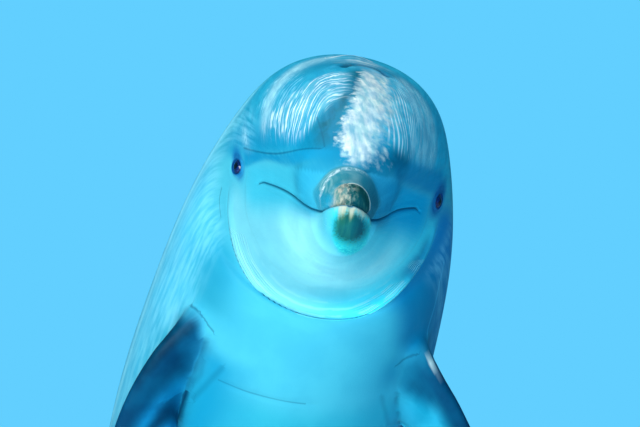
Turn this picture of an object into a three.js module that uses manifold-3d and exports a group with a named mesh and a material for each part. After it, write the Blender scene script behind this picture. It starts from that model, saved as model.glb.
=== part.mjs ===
// A life-size bottlenose dolphin on a display stand. It rears with its body slanting up at about 50 degrees,
// its head bowed level, and the whole animal banked a little to its left.
// Millimetres, +Z up. The snout points along -Y, and the animal's left side is at +X.
// The origin is the middle of the underside of the stand's base.
//
// The body is described straight first: "at" is the distance behind the tip of the lower jaw, x the distance
// from the middle plane, and z the height above the line through the eyes. A section is a radius at each
// angle round a middle point. The straight body is then carried onto a spine that pitches, turns and rolls.

import * as THREE from "three";
import Module from "manifold-3d";
import { mergeVertices } from "three/addons/utils/BufferGeometryUtils.js";

const wasm = await Module();
wasm.setup();

// ---------- driving dimensions ----------

const DEGREE = Math.PI / 180;
const GAP = 0.3; // between pieces that touch
const BODY_END = 2566; // the notch between the flukes, behind the tip of the lower jaw

// Where the spine starts, and how it is bent: the slope down to the tail, the turn to the animal's right, and
// the roll.
const SNOUT = new THREE.Vector3(155, -948, 1042);
const SPINE_STEP = 4;
const NECK_BEND = { from: 318, to: 545, ease: 110 };
const TAIL_BEND = { from: 1080, to: 2560, ease: 500 };
const SLOPE = { head: -6.5, neck: 43, tail: -38 };
const TURN = { head: 3, neck: 12, tail: -19 };
const ROLL = { head: 9.2, neck: -2.6, tail: -6.6 };

// The trunk: back and belly are heights above and below the eye line, side is the half width.
const TRUNK = [
  { at: 30, back: 164, belly: 72, side: 13 },
  { at: 100, back: 164, belly: 93, side: 42 },
  { at: 180, back: 164, belly: 112, side: 71 },
  { at: 265, back: 167, belly: 131, side: 106 },
  { at: 330, back: 175, belly: 149, side: 136 },
  { at: 420, back: 190, belly: 173, side: 171 },
  { at: 540, back: 203, belly: 196, side: 199 },
  { at: 700, back: 214, belly: 214, side: 219 },
  { at: 900, back: 228, belly: 228, side: 235 },
  { at: 1100, back: 230, belly: 229, side: 238 },
  { at: 1300, back: 221, belly: 217, side: 225 },
  { at: 1500, back: 200, belly: 189, side: 193 },
  { at: 1700, back: 172, belly: 152, side: 150 },
  { at: 1900, back: 140, belly: 117, side: 106 },
  { at: 2100, back: 110, belly: 91, side: 69 },
  { at: 2300, back: 83, belly: 68, side: 42 },
  { at: 2440, back: 60, belly: 48, side: 32 },
  { at: 2530, back: 34, belly: 27, side: 26 },
  { at: 2600, back: 9, belly: 7, side: 14 },
];

// The height of the line of the mouth, and behind its corner of the widest line of the body.
const MIDDLE = [
  { at: 0, height: -38 },
  { at: 20, height: -43 },
  { at: 50, height: -48 },
  { at: 80, height: -46.5 },
  { at: 114, height: -40 },
  { at: 175, height: -27 },
  { at: 268, height: -15 },
  { at: 350, height: -8 },
  { at: 480, height: -3 },
  { at: 700, height: 0 },
  { at: 1600, height: 0 },
  { at: 2600, height: 0 },
];

// The melon rises from its front over its length; its shoulders bulge most between "full" and "easing".
const MELON = {
  front: 82, length: 262, start: 16, fullness: 0.7, bulge: 0.27, full: 122, easing: 160, gone: 460,
};
// Ahead of "shown" the skull thins away inside the beak.
const SKULL = { hidden: 20, shown: 85, least: 0.02 };
// Half axes at the tip and how fast they grow; above the mouth the sides grow faster by "spread".
const BEAK = {
  tip: 22.5, flare: 0.07, spread: 0.13, round: 34, top: 28, topFlare: 0.3, bottom: 24, bottomFlare: 0.22,
  squareness: 2.2, merging: 120, merged: 290,
};
// How softly beak and face join, over the top and beside it, and the angles from the back where that changes.
const BEAK_CREASE = { over: 5, beside: 16, from: 40, to: 95 };
const UPPER_JAW = { setback: 9, from: 25, to: 120, lip: 0.12 };
const MOUTH_CORNER = 264;
const LIP_GROOVE = 2.2;

const EYE = {
  at: 331, height: -1, radius: 15, sunk: 10.5, lid: 3, lidSunk: 1.2, opening: 11.5, squash: 0.7,
};
const BLOWHOLE = { at: 264, aside: 6, ring: 26, squash: 0.62, tube: 3.4, tilt: 12, ahead: 10, proud: 1.5 };

// Where the trunk is parted into named lengths.
const NECK_AT = 388;
const CHEST_AT = 620;
const LOINS_AT = 1060;
const TAIL_AT = 1560;

// Fins: edges run from the root to the tip, as shares of the span and distances along the root.
const DORSAL_FIN = {
  at: 1105, span: 262, sunk: 38,
  leading: [[0, 0], [0.3, 88], [0.6, 205], [0.85, 318], [1, 400]],
  trailing: [[0, 395], [0.18, 352], [0.45, 326], [0.75, 350], [1, 408]],
  thickness: [[0, 52], [0.25, 34], [0.7, 18], [1, 5]],
  flare: { reach: 60, ahead: 46, behind: 12, thickness: 0.8 },
};
const FLIPPER = {
  span: 430, sunk: 50,
  leading: [[0, 0], [0.3, 6], [0.6, 40], [0.85, 100], [1, 165]],
  trailing: [[0, 125], [0.2, 140], [0.5, 160], [0.8, 162], [1, 173]],
  thickness: [[0, 50], [0.25, 32], [0.7, 17], [1, 5]],
  flare: { reach: 60, ahead: 18, behind: 16, thickness: 0.35 },
};
const FLUKE = {
  at: 2408, span: 322, sunk: 0,
  leading: [[0, 0], [0.2, 30], [0.5, 88], [0.8, 146], [1, 192]],
  trailing: [[0, 172], [0.12, 199], [0.4, 200], [0.75, 190], [1, 199]],
  thickness: [[0, 44], [0.25, 27], [0.7, 15], [1, 5]],
  flare: { reach: 120, ahead: 90, behind: 0, thickness: 0.5 },
};
// Each flipper: where the front of its root is, and that place's angle round the section from the back, then
// the outward and downward shares of its span, and the twist that turns its rear edge towards the back.
const RIGHT_FLIPPER = { at: 538, angle: 126.6, outward: 0.505, down: 0.31, twist: -39 };
const LEFT_FLIPPER = { at: 552, angle: 135, outward: 0.63, down: 0.46, twist: 18 };
// The root of a flipper rises out of the body over the first share of the span. Its chord starts nearly along
// the body, with a small share of the line square to the span, and has turned into that line further out.
const SHOULDER = { risen: 0.28, square: 0.2, turned: 0.8 };
const FLIPPER_CURL = 16; // how far a tip bends out of its plane
const FLUKE_DROOP = 14;
const FLUKE_CLEARANCE = 2; // each fluke's root stays this far from the middle plane
// Where the section of a fin thins out to a rounded rear edge, and the radius of that edge.
const FIN_EDGE = { from: 0.9, round: 0.9 };

const BASE = { width: 700, length: 1240, height: 44, corner: 120, bevel: 8 };
const ROD_RADIUS = 24;
const RODS = [
  { name: "stand_rod_front", at: 960 },
  { name: "stand_rod_rear", at: 1690 },
];

// How finely the solids are faceted. The columns crowd by this share at the height of the mouth and the eyes.
const CROWDING = 0.16;
const HEAD_COLUMNS = 44;
const TRUNK_COLUMNS = 40;
const TRUNK_RING_STEP = 62;
const FIN_SECTIONS = 11;
const FIN_POINTS = 22;

// ---------- curves and numbers ----------

const clamp = (x, low, high) => Math.min(high, Math.max(low, x));
const mix = (a, b, t) => a + (b - a) * t;

// 0 before "from", 1 after "to", with no kink between.
function fade(x, from, to) {
  const t = clamp((x - from) / (to - from), 0, 1);
  return t * t * (3 - 2 * t);
}

// As fade, but steady in its middle: the slope grows over "ease", stays, and dies over "ease".
function bend(x, { from, to, ease }) {
  const steady = 1 / (to - from - ease);
  const t = clamp(x, from, to);
  const entry = Math.min(t - from, ease);
  const middle = clamp(t - from - ease, 0, to - from - 2 * ease);
  const exit = Math.max(0, t - (to - ease));
  return steady * (entry ** 2 / (2 * ease) + middle + exit - exit ** 2 / (2 * ease));
}

// The natural cubic curve through pairs of place and value.
function curveThrough(pairs) {
  const last = pairs.length - 1;
  const x = pairs.map((p) => p[0]);
  const y = pairs.map((p) => p[1]);
  const second = new Array(last + 1).fill(0);
  const share = new Array(last + 1).fill(0);
  const load = new Array(last + 1).fill(0);
  for (let i = 1; i < last; i++) {
    const before = x[i] - x[i - 1];
    const after = x[i + 1] - x[i];
    const pivot = 2 * (before + after) - before * share[i - 1];
    share[i] = after / pivot;
    load[i] = (6 * ((y[i + 1] - y[i]) / after - (y[i] - y[i - 1]) / before) - before * load[i - 1]) / pivot;
  }
  for (let i = last - 1; i > 0; i--) second[i] = load[i] - share[i] * second[i + 1];
  return (place) => {
    const at = clamp(place, x[0], x[last]);
    let i = 0;
    while (i < last - 1 && at > x[i + 1]) i++;
    const step = x[i + 1] - x[i];
    const a = (x[i + 1] - at) / step;
    const b = 1 - a;
    const sag = ((a ** 3 - a) * second[i] + (b ** 3 - b) * second[i + 1]) * (step ** 2 / 6);
    return a * y[i] + b * y[i + 1] + sag;
  };
}

const trunkCurve = (key) => curveThrough(TRUNK.map((row) => [row.at, row[key]]));
const backAt = trunkCurve("back");
const bellyAt = trunkCurve("belly");
const sideAt = trunkCurve("side");
const middleAt = curveThrough(MIDDLE.map((row) => [row.at, row.height]));

// ---------- the straight body ----------

// The radius of a rounded oblong, at an angle from straight up.
function oval(angle, side, upright, power) {
  const across = Math.abs(Math.sin(angle)) / side;
  const along = Math.abs(Math.cos(angle)) / upright;
  return (across ** power + along ** power) ** (-1 / power);
}

// Skull, forehead and throat, which run on as the trunk. The forehead rises steeply and then levels.
function massRadius(at, angle) {
  const middle = middleAt(at);
  const risen = clamp((at - MELON.front) / MELON.length, 0, 1);
  const rise = (1 - (1 - risen) ** 2) ** MELON.fullness;
  const hidden = mix(SKULL.least, 1, fade(at, SKULL.hidden, SKULL.shown));
  const side = sideAt(at) * hidden;
  if (Math.cos(angle) < 0) return oval(angle, side, (middle + bellyAt(at)) * hidden, 2);
  const top = MELON.start * hidden + (backAt(at) - middle - MELON.start) * rise;
  const shoulder = MELON.bulge * fade(at, MELON.front, MELON.full) * (1 - fade(at, MELON.easing, MELON.gone));
  return oval(angle, side, top, 2) * (1 + shoulder * Math.sin(2 * angle) ** 2);
}

// The beak, a blunt tube that widens towards the face. Its tip rounds off like a slightly squared ellipse.
function beakRadius(at, angle) {
  const blunt = (1 - (1 - clamp(at / BEAK.round, 0, 1)) ** 2.3) ** (1 / 2.1);
  const side = BEAK.tip + (BEAK.flare + BEAK.spread * fade(Math.cos(angle), 0, 0.5)) * at;
  const upright = Math.cos(angle) < 0 ? BEAK.bottom + BEAK.bottomFlare * at : BEAK.top + BEAK.topFlare * at;
  return oval(angle, Math.max(side * blunt, 0.01), Math.max(upright * blunt, 0.01), BEAK.squareness);
}

// Both together: a sharp crease where the forehead meets the top of the beak, and a soft blend on the sides.
function bodyRadius(at, angle) {
  const mass = massRadius(at, angle);
  if (at > BEAK.merged) return mass;
  const beak = beakRadius(at, angle) * (1 - fade(at, BEAK.merging, BEAK.merged));
  const beside = fade(Math.abs(angle), BEAK_CREASE.from * DEGREE, BEAK_CREASE.to * DEGREE);
  const softness = mix(BEAK_CREASE.over, BEAK_CREASE.beside, beside) * fade(at, 0, 40);
  return (mass + beak + Math.sqrt((mass - beak) ** 2 + softness ** 2)) / 2;
}

// A point of the straight body as [at, x, z]. The angle runs from the back over the animal's left side. The
// upper jaw is a little shorter than the lower one.
function straightPoint(at, angle, proud = 0) {
  const radius = bodyRadius(at, angle) + proud;
  const ahead = 1 - fade(at, UPPER_JAW.from, UPPER_JAW.to);
  const above = ahead * fade(Math.cos(angle), -UPPER_JAW.lip, UPPER_JAW.lip);
  return [at + UPPER_JAW.setback * above, radius * Math.sin(angle), middleAt(at) + radius * Math.cos(angle)];
}

// ---------- the spine ----------

function spineAngles(at) {
  const neck = bend(at, NECK_BEND);
  const tail = bend(at, TAIL_BEND);
  const sum = (angles) => (angles.head + angles.neck * neck + angles.tail * tail) * DEGREE;
  return { slope: sum(SLOPE), turn: sum(TURN), roll: sum(ROLL) };
}

// The directions at a place on the spine: towards the tail, to the animal's left, and out of its back.
function directionsAt(at) {
  const { slope, turn, roll } = spineAngles(at);
  const tailward = new THREE.Vector3(
    -Math.sin(turn) * Math.cos(slope), Math.cos(turn) * Math.cos(slope), -Math.sin(slope));
  const level = new THREE.Vector3(Math.cos(turn), Math.sin(turn), 0);
  const upright = new THREE.Vector3().crossVectors(level, tailward);
  const left = level.clone().multiplyScalar(Math.cos(roll)).addScaledVector(upright, -Math.sin(roll));
  const dorsal = upright.multiplyScalar(Math.cos(roll)).addScaledVector(level, Math.sin(roll));
  return { tailward, left, dorsal };
}

const spinePlaces = [SNOUT.clone()];
for (let at = 0; at < BODY_END + 200; at += SPINE_STEP) {
  const { tailward } = directionsAt(at + SPINE_STEP / 2);
  spinePlaces.push(spinePlaces.at(-1).clone().addScaledVector(tailward, SPINE_STEP));
}

function spineAt(at) {
  const step = clamp(Math.floor(at / SPINE_STEP), 0, spinePlaces.length - 2);
  const rest = at - step * SPINE_STEP;
  return spinePlaces[step].clone().addScaledVector(directionsAt(step * SPINE_STEP + rest / 2).tailward, rest);
}

// Carries a point of the straight body onto the spine.
function onSpine([at, x, z]) {
  const { left, dorsal } = directionsAt(at);
  return spineAt(at).addScaledVector(left, x).addScaledVector(dorsal, z);
}

// ---------- solids ----------

// A closed geometry as a solid, turned round first if its faces point inwards.
function solidOf(geometry) {
  const bare = new THREE.BufferGeometry().setAttribute("position", geometry.getAttribute("position"));
  if (geometry.index) bare.setIndex(geometry.index);
  const merged = mergeVertices(bare, 1e-4);
  const vertProperties = merged.attributes.position.array;
  const triVerts = new Uint32Array(merged.index.array);
  const made = new wasm.Manifold(new wasm.Mesh({ numProp: 3, vertProperties, triVerts }));
  if (made.volume() > 0) return made;
  return new wasm.Manifold(new wasm.Mesh({ numProp: 3, vertProperties, triVerts: triVerts.reverse() }));
}

// The largest closed surface of a solid.
const largest = (solid) => solid.decompose().reduce((a, b) => (a.volume() > b.volume() ? a : b));

function geometryOf(solid) {
  const { numProp, numVert, vertProperties, triVerts } = solid.getMesh();
  const places = new Float32Array(numVert * 3);
  for (let i = 0; i < numVert; i++) places.set(vertProperties.subarray(i * numProp, i * numProp + 3), i * 3);
  const geometry = new THREE.BufferGeometry()
    .setAttribute("position", new THREE.BufferAttribute(places, 3))
    .setIndex(new THREE.BufferAttribute(new Uint32Array(triVerts), 1))
    .toNonIndexed();
  geometry.computeVertexNormals();
  return geometry;
}

// Joins rings of equally many points into a skin, and closes both ends with a fan.
function loft(rings) {
  const count = rings[0].length;
  const places = rings.flat().flatMap((p) => [p.x, p.y, p.z]);
  const faces = [];
  for (let i = 0; i + 1 < rings.length; i++) {
    for (let j = 0; j < count; j++) {
      const a = i * count + j;
      const b = i * count + ((j + 1) % count);
      faces.push(a, a + count, b, b, a + count, b + count);
    }
  }
  [0, rings.length - 1].forEach((end) => {
    const middle = rings[end].reduce((sum, p) => sum.add(p), new THREE.Vector3()).divideScalar(count);
    const pole = places.push(middle.x, middle.y, middle.z) / 3 - 1;
    for (let j = 0; j < count; j++) {
      const a = end * count + j;
      const b = end * count + ((j + 1) % count);
      faces.push(...(end ? [a, pole, b] : [b, pole, a]));
    }
  });
  const solid = solidOf(new THREE.BufferGeometry()
    .setAttribute("position", new THREE.Float32BufferAttribute(places, 3)).setIndex(faces));
  return solid;
}

// Angles round a section, closer together at the height of the mouth and the eyes.
function angles(columns) {
  return Array.from({ length: columns }, (_, i) => {
    const even = (2 * Math.PI * i) / columns;
    return even + CROWDING * Math.sin(2 * even);
  });
}

const bodyRing = (at, columns, proud = 0) => angles(columns).map((a) => onSpine(straightPoint(at, a, proud)));

function bodyLength(from, to, columns, proud = 0) {
  const steps = Math.ceil((to - from) / TRUNK_RING_STEP);
  const ring = (i) => bodyRing(mix(from, to, i / steps), columns, proud);
  return loft(Array.from({ length: steps + 1 }, (_, i) => ring(i)));
}

// Rings for the head, set by the slope of the profile: close at the tip and up the forehead.
function headRings(to) {
  const places = [0.05, 1.5, 5, 11, 20, 32, 48, 64, 77, 84, 88, 92, 97];
  let at = 104;
  while (at < to - 14) {
    places.push(at);
    at += clamp((at - 70) * 0.22, 7, 19);
  }
  places.push(to);
  return places;
}

// Half the thickness of a four-digit wing section along its chord, as a share of the most.
const wing = (t) => 1.4845 * Math.sqrt(t) - 0.63 * t - 1.758 * t ** 2 + 1.4215 * t ** 3 - 0.518 * t ** 4;

// A section of a fin: round in front, thin behind, with the chord along x and the thickness along z.
function finSection(leading, trailing, thickness) {
  return Array.from({ length: FIN_POINTS }, (_, i) => {
    const turn = (2 * Math.PI * i) / FIN_POINTS;
    const along = (1 - Math.cos(turn)) / 2;
    const half = thickness * wing(along) * (1 - fade(along, FIN_EDGE.from, 1))
      + FIN_EDGE.round * Math.sqrt(along * (1 - along));
    return [mix(leading, trailing, along), Math.sign(Math.PI - turn) * half];
  });
}

// A fin from its root, which flares into the skin, to its tip; "place" puts a point (chord, share of the
// span, thickness) on the body.
function fin(shape, place) {
  const leading = curveThrough(shape.leading);
  const trailing = curveThrough(shape.trailing);
  const thickness = curveThrough(shape.thickness);
  const { reach, ahead, behind, thickness: swelling } = shape.flare;
  const rings = Array.from({ length: FIN_SECTIONS }, (_, i) => {
    const share = 1 - (1 - i / (FIN_SECTIONS - 1)) ** 1.25;
    const flare = (1 - clamp((share * shape.span - shape.sunk) / reach, 0, 1)) ** 2;
    const section = finSection(leading(share) - ahead * flare, trailing(share) + behind * flare,
      thickness(share) * (1 + swelling * flare));
    return section.map(([chord, half]) => place(chord, share, half));
  });
  return loft(rings);
}

// ---------- the head ----------

// A thin upright sheet through the line of the mouth, turned down behind its corner to the throat.
function mouthCut() {
  const line = [[-30, middleAt(0) + 4]];
  for (let at = 0; at < MOUTH_CORNER; at += 20) line.push([at, middleAt(at)]);
  line.push([MOUTH_CORNER, middleAt(MOUTH_CORNER)], [MOUTH_CORNER + 14, middleAt(MOUTH_CORNER) - 18]);
  line.push([MOUTH_CORNER + 22, -90], [MOUTH_CORNER + 26, -260]);
  const reach = 260;
  const rings = line.map(([at, z], i) => {
    const [a, b] = [line[Math.max(0, i - 1)], line[Math.min(line.length - 1, i + 1)]];
    const run = Math.hypot(b[0] - a[0], b[1] - a[1]);
    const [up, back] = [(b[0] - a[0]) / run, -(b[1] - a[1]) / run];
    const corner = (x, side) => onSpine([at + (side * back * GAP) / 2, x, z + (side * up * GAP) / 2]);
    return [corner(-reach, -1), corner(reach, -1), corner(reach, 1), corner(-reach, 1)];
  });
  return loft(rings);
}

// A thin rod along the line of the mouth on one side, which cuts the groove between the lips.
function lipRod(side) {
  const sides = 6;
  const places = [0.5];
  while (places.at(-1) < MOUTH_CORNER) places.push(places.at(-1) + (places.at(-1) < 48 ? 8 : 20));
  return loft(places.map((at) => {
    const [place, x, z] = straightPoint(at, (side * Math.PI) / 2);
    return Array.from({ length: sides }, (_, i) => {
      const turn = (2 * Math.PI * i) / sides;
      return onSpine([place, x + LIP_GROOVE * Math.cos(turn), z + LIP_GROOVE * Math.sin(turn)]);
    });
  }));
}

// A direction frame on the surface of the head: out of the skin, forwards and up.
function skinFrame(at, angle) {
  const place = onSpine(straightPoint(at, angle));
  const ahead = onSpine(straightPoint(at - 6, angle)).sub(onSpine(straightPoint(at + 6, angle))).normalize();
  const round = onSpine(straightPoint(at, angle - 0.04)).sub(onSpine(straightPoint(at, angle + 0.04)));
  const out = new THREE.Vector3().crossVectors(round, ahead).normalize();
  const up = new THREE.Vector3().crossVectors(ahead, out);
  return { place, ahead, out, up };
}

const eyeAngle = Math.atan2(sideAt(EYE.at), EYE.height - middleAt(EYE.at));

function eyeParts(side) {
  const frame = skinFrame(EYE.at, side * eyeAngle);
  const centre = frame.place.clone().addScaledVector(frame.out, -EYE.sunk);
  const ball = (radius) => solidOf(new THREE.SphereGeometry(radius, 18, 12)
    .rotateX(Math.PI / 2).translate(centre.x, centre.y, centre.z));
  const lid = new THREE.TorusGeometry(EYE.opening + EYE.lid, EYE.lid, 7, 24);
  lid.scale(1, EYE.squash, 1);
  const rim = frame.place.clone().addScaledVector(frame.out, -EYE.lidSunk);
  lid.applyMatrix4(new THREE.Matrix4().makeBasis(frame.ahead, frame.up, frame.out).setPosition(rim));
  return { ball: ball(EYE.radius), socket: ball(EYE.radius + GAP), lid: solidOf(lid) };
}

// A tilted ring sunk in the top of the head leaves a crescent that is deepest at its back.
function blowholeCut() {
  const angle = Math.atan2(BLOWHOLE.aside, backAt(BLOWHOLE.at) - middleAt(BLOWHOLE.at));
  const { place, ahead, out, up } = skinFrame(BLOWHOLE.at, angle);
  const ring = new THREE.TorusGeometry(BLOWHOLE.ring, BLOWHOLE.tube, 6, 30);
  ring.rotateY(BLOWHOLE.tilt * DEGREE);
  ring.scale(BLOWHOLE.squash, 1, 1);
  ring.applyMatrix4(new THREE.Matrix4().makeBasis(ahead, up, out)
    .setPosition(place.addScaledVector(ahead, BLOWHOLE.ahead).addScaledVector(out, BLOWHOLE.proud)));
  return solidOf(ring);
}

const eyes = { left: eyeParts(1), right: eyeParts(-1) };

function headPieces() {
  let flesh = loft(headRings(NECK_AT - GAP / 2).map((at) => bodyRing(at, HEAD_COLUMNS)));
  for (const { lid, socket } of Object.values(eyes)) flesh = flesh.add(lid).subtract(socket);
  flesh = flesh.subtract(lipRod(1)).subtract(lipRod(-1)).subtract(blowholeCut());
  const [head, lowerJaw] = flesh.subtract(mouthCut()).decompose().sort((a, b) => b.volume() - a.volume());
  return { head, lower_jaw: lowerJaw };
}

// ---------- the fins ----------

// A fin set on the body: "root" is where its front edge starts, and its axes are unit directions. It is sunk
// along its span, or where an inward direction is given along that, and then rises to the skin. Its chord may
// start along another axis at the root, and the tip droops with the square of the share.
function finOn(shape, root, chordAxis, spanAxis, droop = 0, { rootAxis = chordAxis, inward } = {}) {
  const chordAt = (share) => rootAxis.clone().lerp(chordAxis, fade(share, 0, SHOULDER.turned)).normalize();
  const sink = (share) => (inward
    ? inward.clone().multiplyScalar(shape.sunk * (1 - fade(share, 0, SHOULDER.risen)))
    : spanAxis.clone().multiplyScalar(-shape.sunk));
  return fin(shape, (chord, share, half) => {
    const along = chordAt(share);
    const face = new THREE.Vector3().crossVectors(along, spanAxis).normalize();
    return root.clone().add(sink(share)).addScaledVector(spanAxis, share * shape.span)
      .addScaledVector(along, chord).addScaledVector(face, half - droop * share ** 2);
  });
}

// A direction given by its parts to the animal's left, out of its back and towards its tail.
function bodyDirection(at, leftPart, dorsalPart, tailPart) {
  const { tailward, left, dorsal } = directionsAt(at);
  return left.multiplyScalar(leftPart).addScaledVector(dorsal, dorsalPart).addScaledVector(tailward, tailPart)
    .normalize();
}

function dorsalFin() {
  const middle = DORSAL_FIN.at + DORSAL_FIN.trailing[0][1] / 2;
  const front = onSpine([DORSAL_FIN.at, 0, backAt(DORSAL_FIN.at)]);
  const rear = onSpine([middle * 2 - DORSAL_FIN.at, 0, backAt(middle * 2 - DORSAL_FIN.at)]);
  const chordAxis = rear.sub(front).normalize();
  const left = bodyDirection(middle, 1, 0, 0);
  const spanAxis = new THREE.Vector3().crossVectors(left, chordAxis).normalize();
  return finOn(DORSAL_FIN, front, chordAxis, spanAxis);
}

function flipper(side, { at, angle, outward, down, twist }) {
  const round = side * angle * DEGREE;
  const root = onSpine(straightPoint(at, round));
  const backward = Math.sqrt(1 - outward ** 2 - down ** 2);
  const spanAxis = bodyDirection(at, side * outward, -down, backward);
  const inward = bodyDirection(at, -Math.sin(round), -Math.cos(round), 0);
  const tailward = bodyDirection(at, 0, 0, 1);
  const across = tailward.clone().addScaledVector(spanAxis, -tailward.dot(spanAxis)).normalize();
  const rootAxis = tailward.lerp(across, SHOULDER.square).normalize();
  const chordAxis = across.applyAxisAngle(spanAxis, side * twist * DEGREE);
  return finOn(FLIPPER, root, chordAxis, spanAxis, side * FLIPPER_CURL, { rootAxis, inward });
}

function fluke(side) {
  const root = onSpine([FLUKE.at, side * FLUKE_CLEARANCE, 0]);
  const middle = FLUKE.at + FLUKE.trailing[0][1] / 2;
  const chordAxis = onSpine([middle + 60, 0, 0]).sub(onSpine([middle - 60, 0, 0])).normalize();
  const spanAxis = bodyDirection(middle, side, 0, 0);
  return finOn(FLUKE, root, chordAxis, spanAxis, side * FLUKE_DROOP);
}

// ---------- the stand ----------

// An oblong plate with round corners and a bevelled upper and lower edge.
function base() {
  const [halfWidth, halfLength] = [BASE.width / 2 - BASE.bevel, BASE.length / 2 - BASE.bevel];
  const corner = BASE.corner - BASE.bevel;
  const outline = new THREE.Shape();
  outline.moveTo(halfWidth, -halfLength + corner);
  outline.absarc(halfWidth - corner, halfLength - corner, corner, 0, Math.PI / 2);
  outline.absarc(corner - halfWidth, halfLength - corner, corner, Math.PI / 2, Math.PI);
  outline.absarc(corner - halfWidth, corner - halfLength, corner, Math.PI, 1.5 * Math.PI);
  outline.absarc(halfWidth - corner, corner - halfLength, corner, 1.5 * Math.PI, 2 * Math.PI);
  const plate = new THREE.ExtrudeGeometry(outline, {
    depth: BASE.height - 2 * BASE.bevel, bevelThickness: BASE.bevel, bevelSize: BASE.bevel,
    bevelSegments: 2, curveSegments: 7,
  });
  return solidOf(plate.translate(0, 0, BASE.bevel));
}

// An upright rod from the base into the body, to be cut off at the skin.
function rod(at) {
  const top = onSpine([at, 0, 0]);
  const foot = BASE.height + GAP;
  const shaft = new THREE.CylinderGeometry(ROD_RADIUS, ROD_RADIUS, top.z - foot, 24);
  return solidOf(shaft.rotateX(Math.PI / 2).translate(top.x, top.y, (top.z + foot) / 2));
}

// ---------- the whole ----------

// Lengths of the trunk, parted by thin gaps across it.
const TRUNK_LENGTHS = [
  { name: "neck", from: NECK_AT, to: CHEST_AT },
  { name: "chest", from: CHEST_AT, to: LOINS_AT },
  { name: "loins", from: LOINS_AT, to: TAIL_AT },
  { name: "tail_stock", from: TAIL_AT, to: BODY_END },
];

function allPieces() {
  const pieces = headPieces();
  pieces.eye_left = eyes.left.ball;
  pieces.eye_right = eyes.right.ball;
  const proudLengths = [];
  for (const { name, from, to } of TRUNK_LENGTHS) {
    pieces[name] = bodyLength(from + GAP / 2, to - GAP / 2, TRUNK_COLUMNS);
    proudLengths.push(bodyLength(from + GAP / 2, to - GAP / 2, TRUNK_COLUMNS, GAP));
  }
  const cutAtSkin = (solid) => largest(proudLengths.reduce((rest, length) => rest.subtract(length), solid));
  pieces.dorsal_fin = cutAtSkin(dorsalFin());
  pieces.flipper_left = cutAtSkin(flipper(1, LEFT_FLIPPER));
  pieces.flipper_right = cutAtSkin(flipper(-1, RIGHT_FLIPPER));
  pieces.fluke_left = cutAtSkin(fluke(1));
  pieces.fluke_right = cutAtSkin(fluke(-1));
  pieces.stand_base = base();
  for (const { name, at } of RODS) pieces[name] = cutAtSkin(rod(at));
  return pieces;
}

const FINISHES = {
  skin_dark: { color: 0x3f6f8c, roughness: 0.32, metalness: 0 },
  skin_pale: { color: 0xa9d3df, roughness: 0.35, metalness: 0 },
  eye: { color: 0x0c1420, roughness: 0.08, metalness: 0 },
  stand_plate: { color: 0xd9dcdc, roughness: 0.5, metalness: 0 },
  stand_steel: { color: 0xb4b8bb, roughness: 0.28, metalness: 1 },
};

function finishOf(name) {
  if (name.startsWith("eye")) return FINISHES.eye;
  if (name === "stand_base") return FINISHES.stand_plate;
  if (name.startsWith("stand_")) return FINISHES.stand_steel;
  return name === "lower_jaw" ? FINISHES.skin_pale : FINISHES.skin_dark;
}

const dolphin = new THREE.Group();
for (const [name, solid] of Object.entries(allPieces())) {
  const mesh = new THREE.Mesh(geometryOf(solid), new THREE.MeshStandardMaterial(finishOf(name)));
  mesh.name = name;
  dolphin.add(mesh);
}

export default dolphin;
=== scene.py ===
# %% [markdown]
# # A bottlenose dolphin, life size, on a display stand
#
# The real object is a museum model: a silicone skin over a hard body, painted with an airbrush, and held up by two
# rods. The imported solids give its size, its place and its stand. This notebook gives it its looks.
#
# The animal is described straight first, in millimetres: "at" is the distance behind the tip of the lower jaw, x the
# distance to the animal's left of its middle plane, and z the height above the line through its eyes. The straight
# body is then carried onto a bent spine. That way an eye, a crease or a band of colour is placed by plain numbers,
# and it follows the body however it bends.

import bmesh
import bpy
import numpy as np
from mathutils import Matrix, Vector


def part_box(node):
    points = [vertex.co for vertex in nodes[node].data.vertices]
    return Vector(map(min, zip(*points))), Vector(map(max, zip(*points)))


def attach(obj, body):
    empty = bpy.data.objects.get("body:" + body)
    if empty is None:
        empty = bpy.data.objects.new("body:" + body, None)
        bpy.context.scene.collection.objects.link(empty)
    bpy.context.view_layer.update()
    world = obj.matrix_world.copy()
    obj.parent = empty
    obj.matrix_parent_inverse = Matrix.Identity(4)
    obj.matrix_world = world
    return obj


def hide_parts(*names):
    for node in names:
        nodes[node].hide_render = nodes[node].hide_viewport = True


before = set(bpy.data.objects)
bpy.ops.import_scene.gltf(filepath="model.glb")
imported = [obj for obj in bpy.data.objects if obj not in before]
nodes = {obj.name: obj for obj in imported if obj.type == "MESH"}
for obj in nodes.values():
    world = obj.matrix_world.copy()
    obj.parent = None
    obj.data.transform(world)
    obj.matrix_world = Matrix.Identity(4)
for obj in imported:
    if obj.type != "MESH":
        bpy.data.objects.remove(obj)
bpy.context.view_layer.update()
scene = bpy.context.scene
MM = 0.001

# %% [markdown]
# ## The camera
#
# The animal is seen from in front and a little below, so the camera is low, and pitched up by 8 degrees. It could be
# aimed by hand, but a long lens and a place fitted to both eyes, the beak and the corners of the mouth hold the
# proportions of the face.

# %% Camera
CAMERA_PLACE, CAMERA_PITCH = (0.11386, -2.85565, 0.72694), 8.0
LENS_MM, SENSOR_MM = 95.29, 36.0
camera_data = bpy.data.cameras.new("camera")
camera_data.sensor_width = SENSOR_MM
camera_data.lens = LENS_MM
camera_data.clip_end = 60.0
camera = bpy.data.objects.new("camera", camera_data)
camera.location = CAMERA_PLACE
camera.rotation_euler = (np.radians(90.0 + CAMERA_PITCH), 0.0, 0.0)
scene.collection.objects.link(camera)
scene.camera = camera
print("camera at", [round(v, 3) for v in camera.location])

# %% [markdown]
# ## Curves
#
# A sculptor would draw the profile of the animal as a few long curves. Here each is a short table of places and
# values, and a natural cubic spline runs through them, which bends no more than it has to.

# %% Curves and fades
DEGREE = np.pi / 180.0


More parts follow.
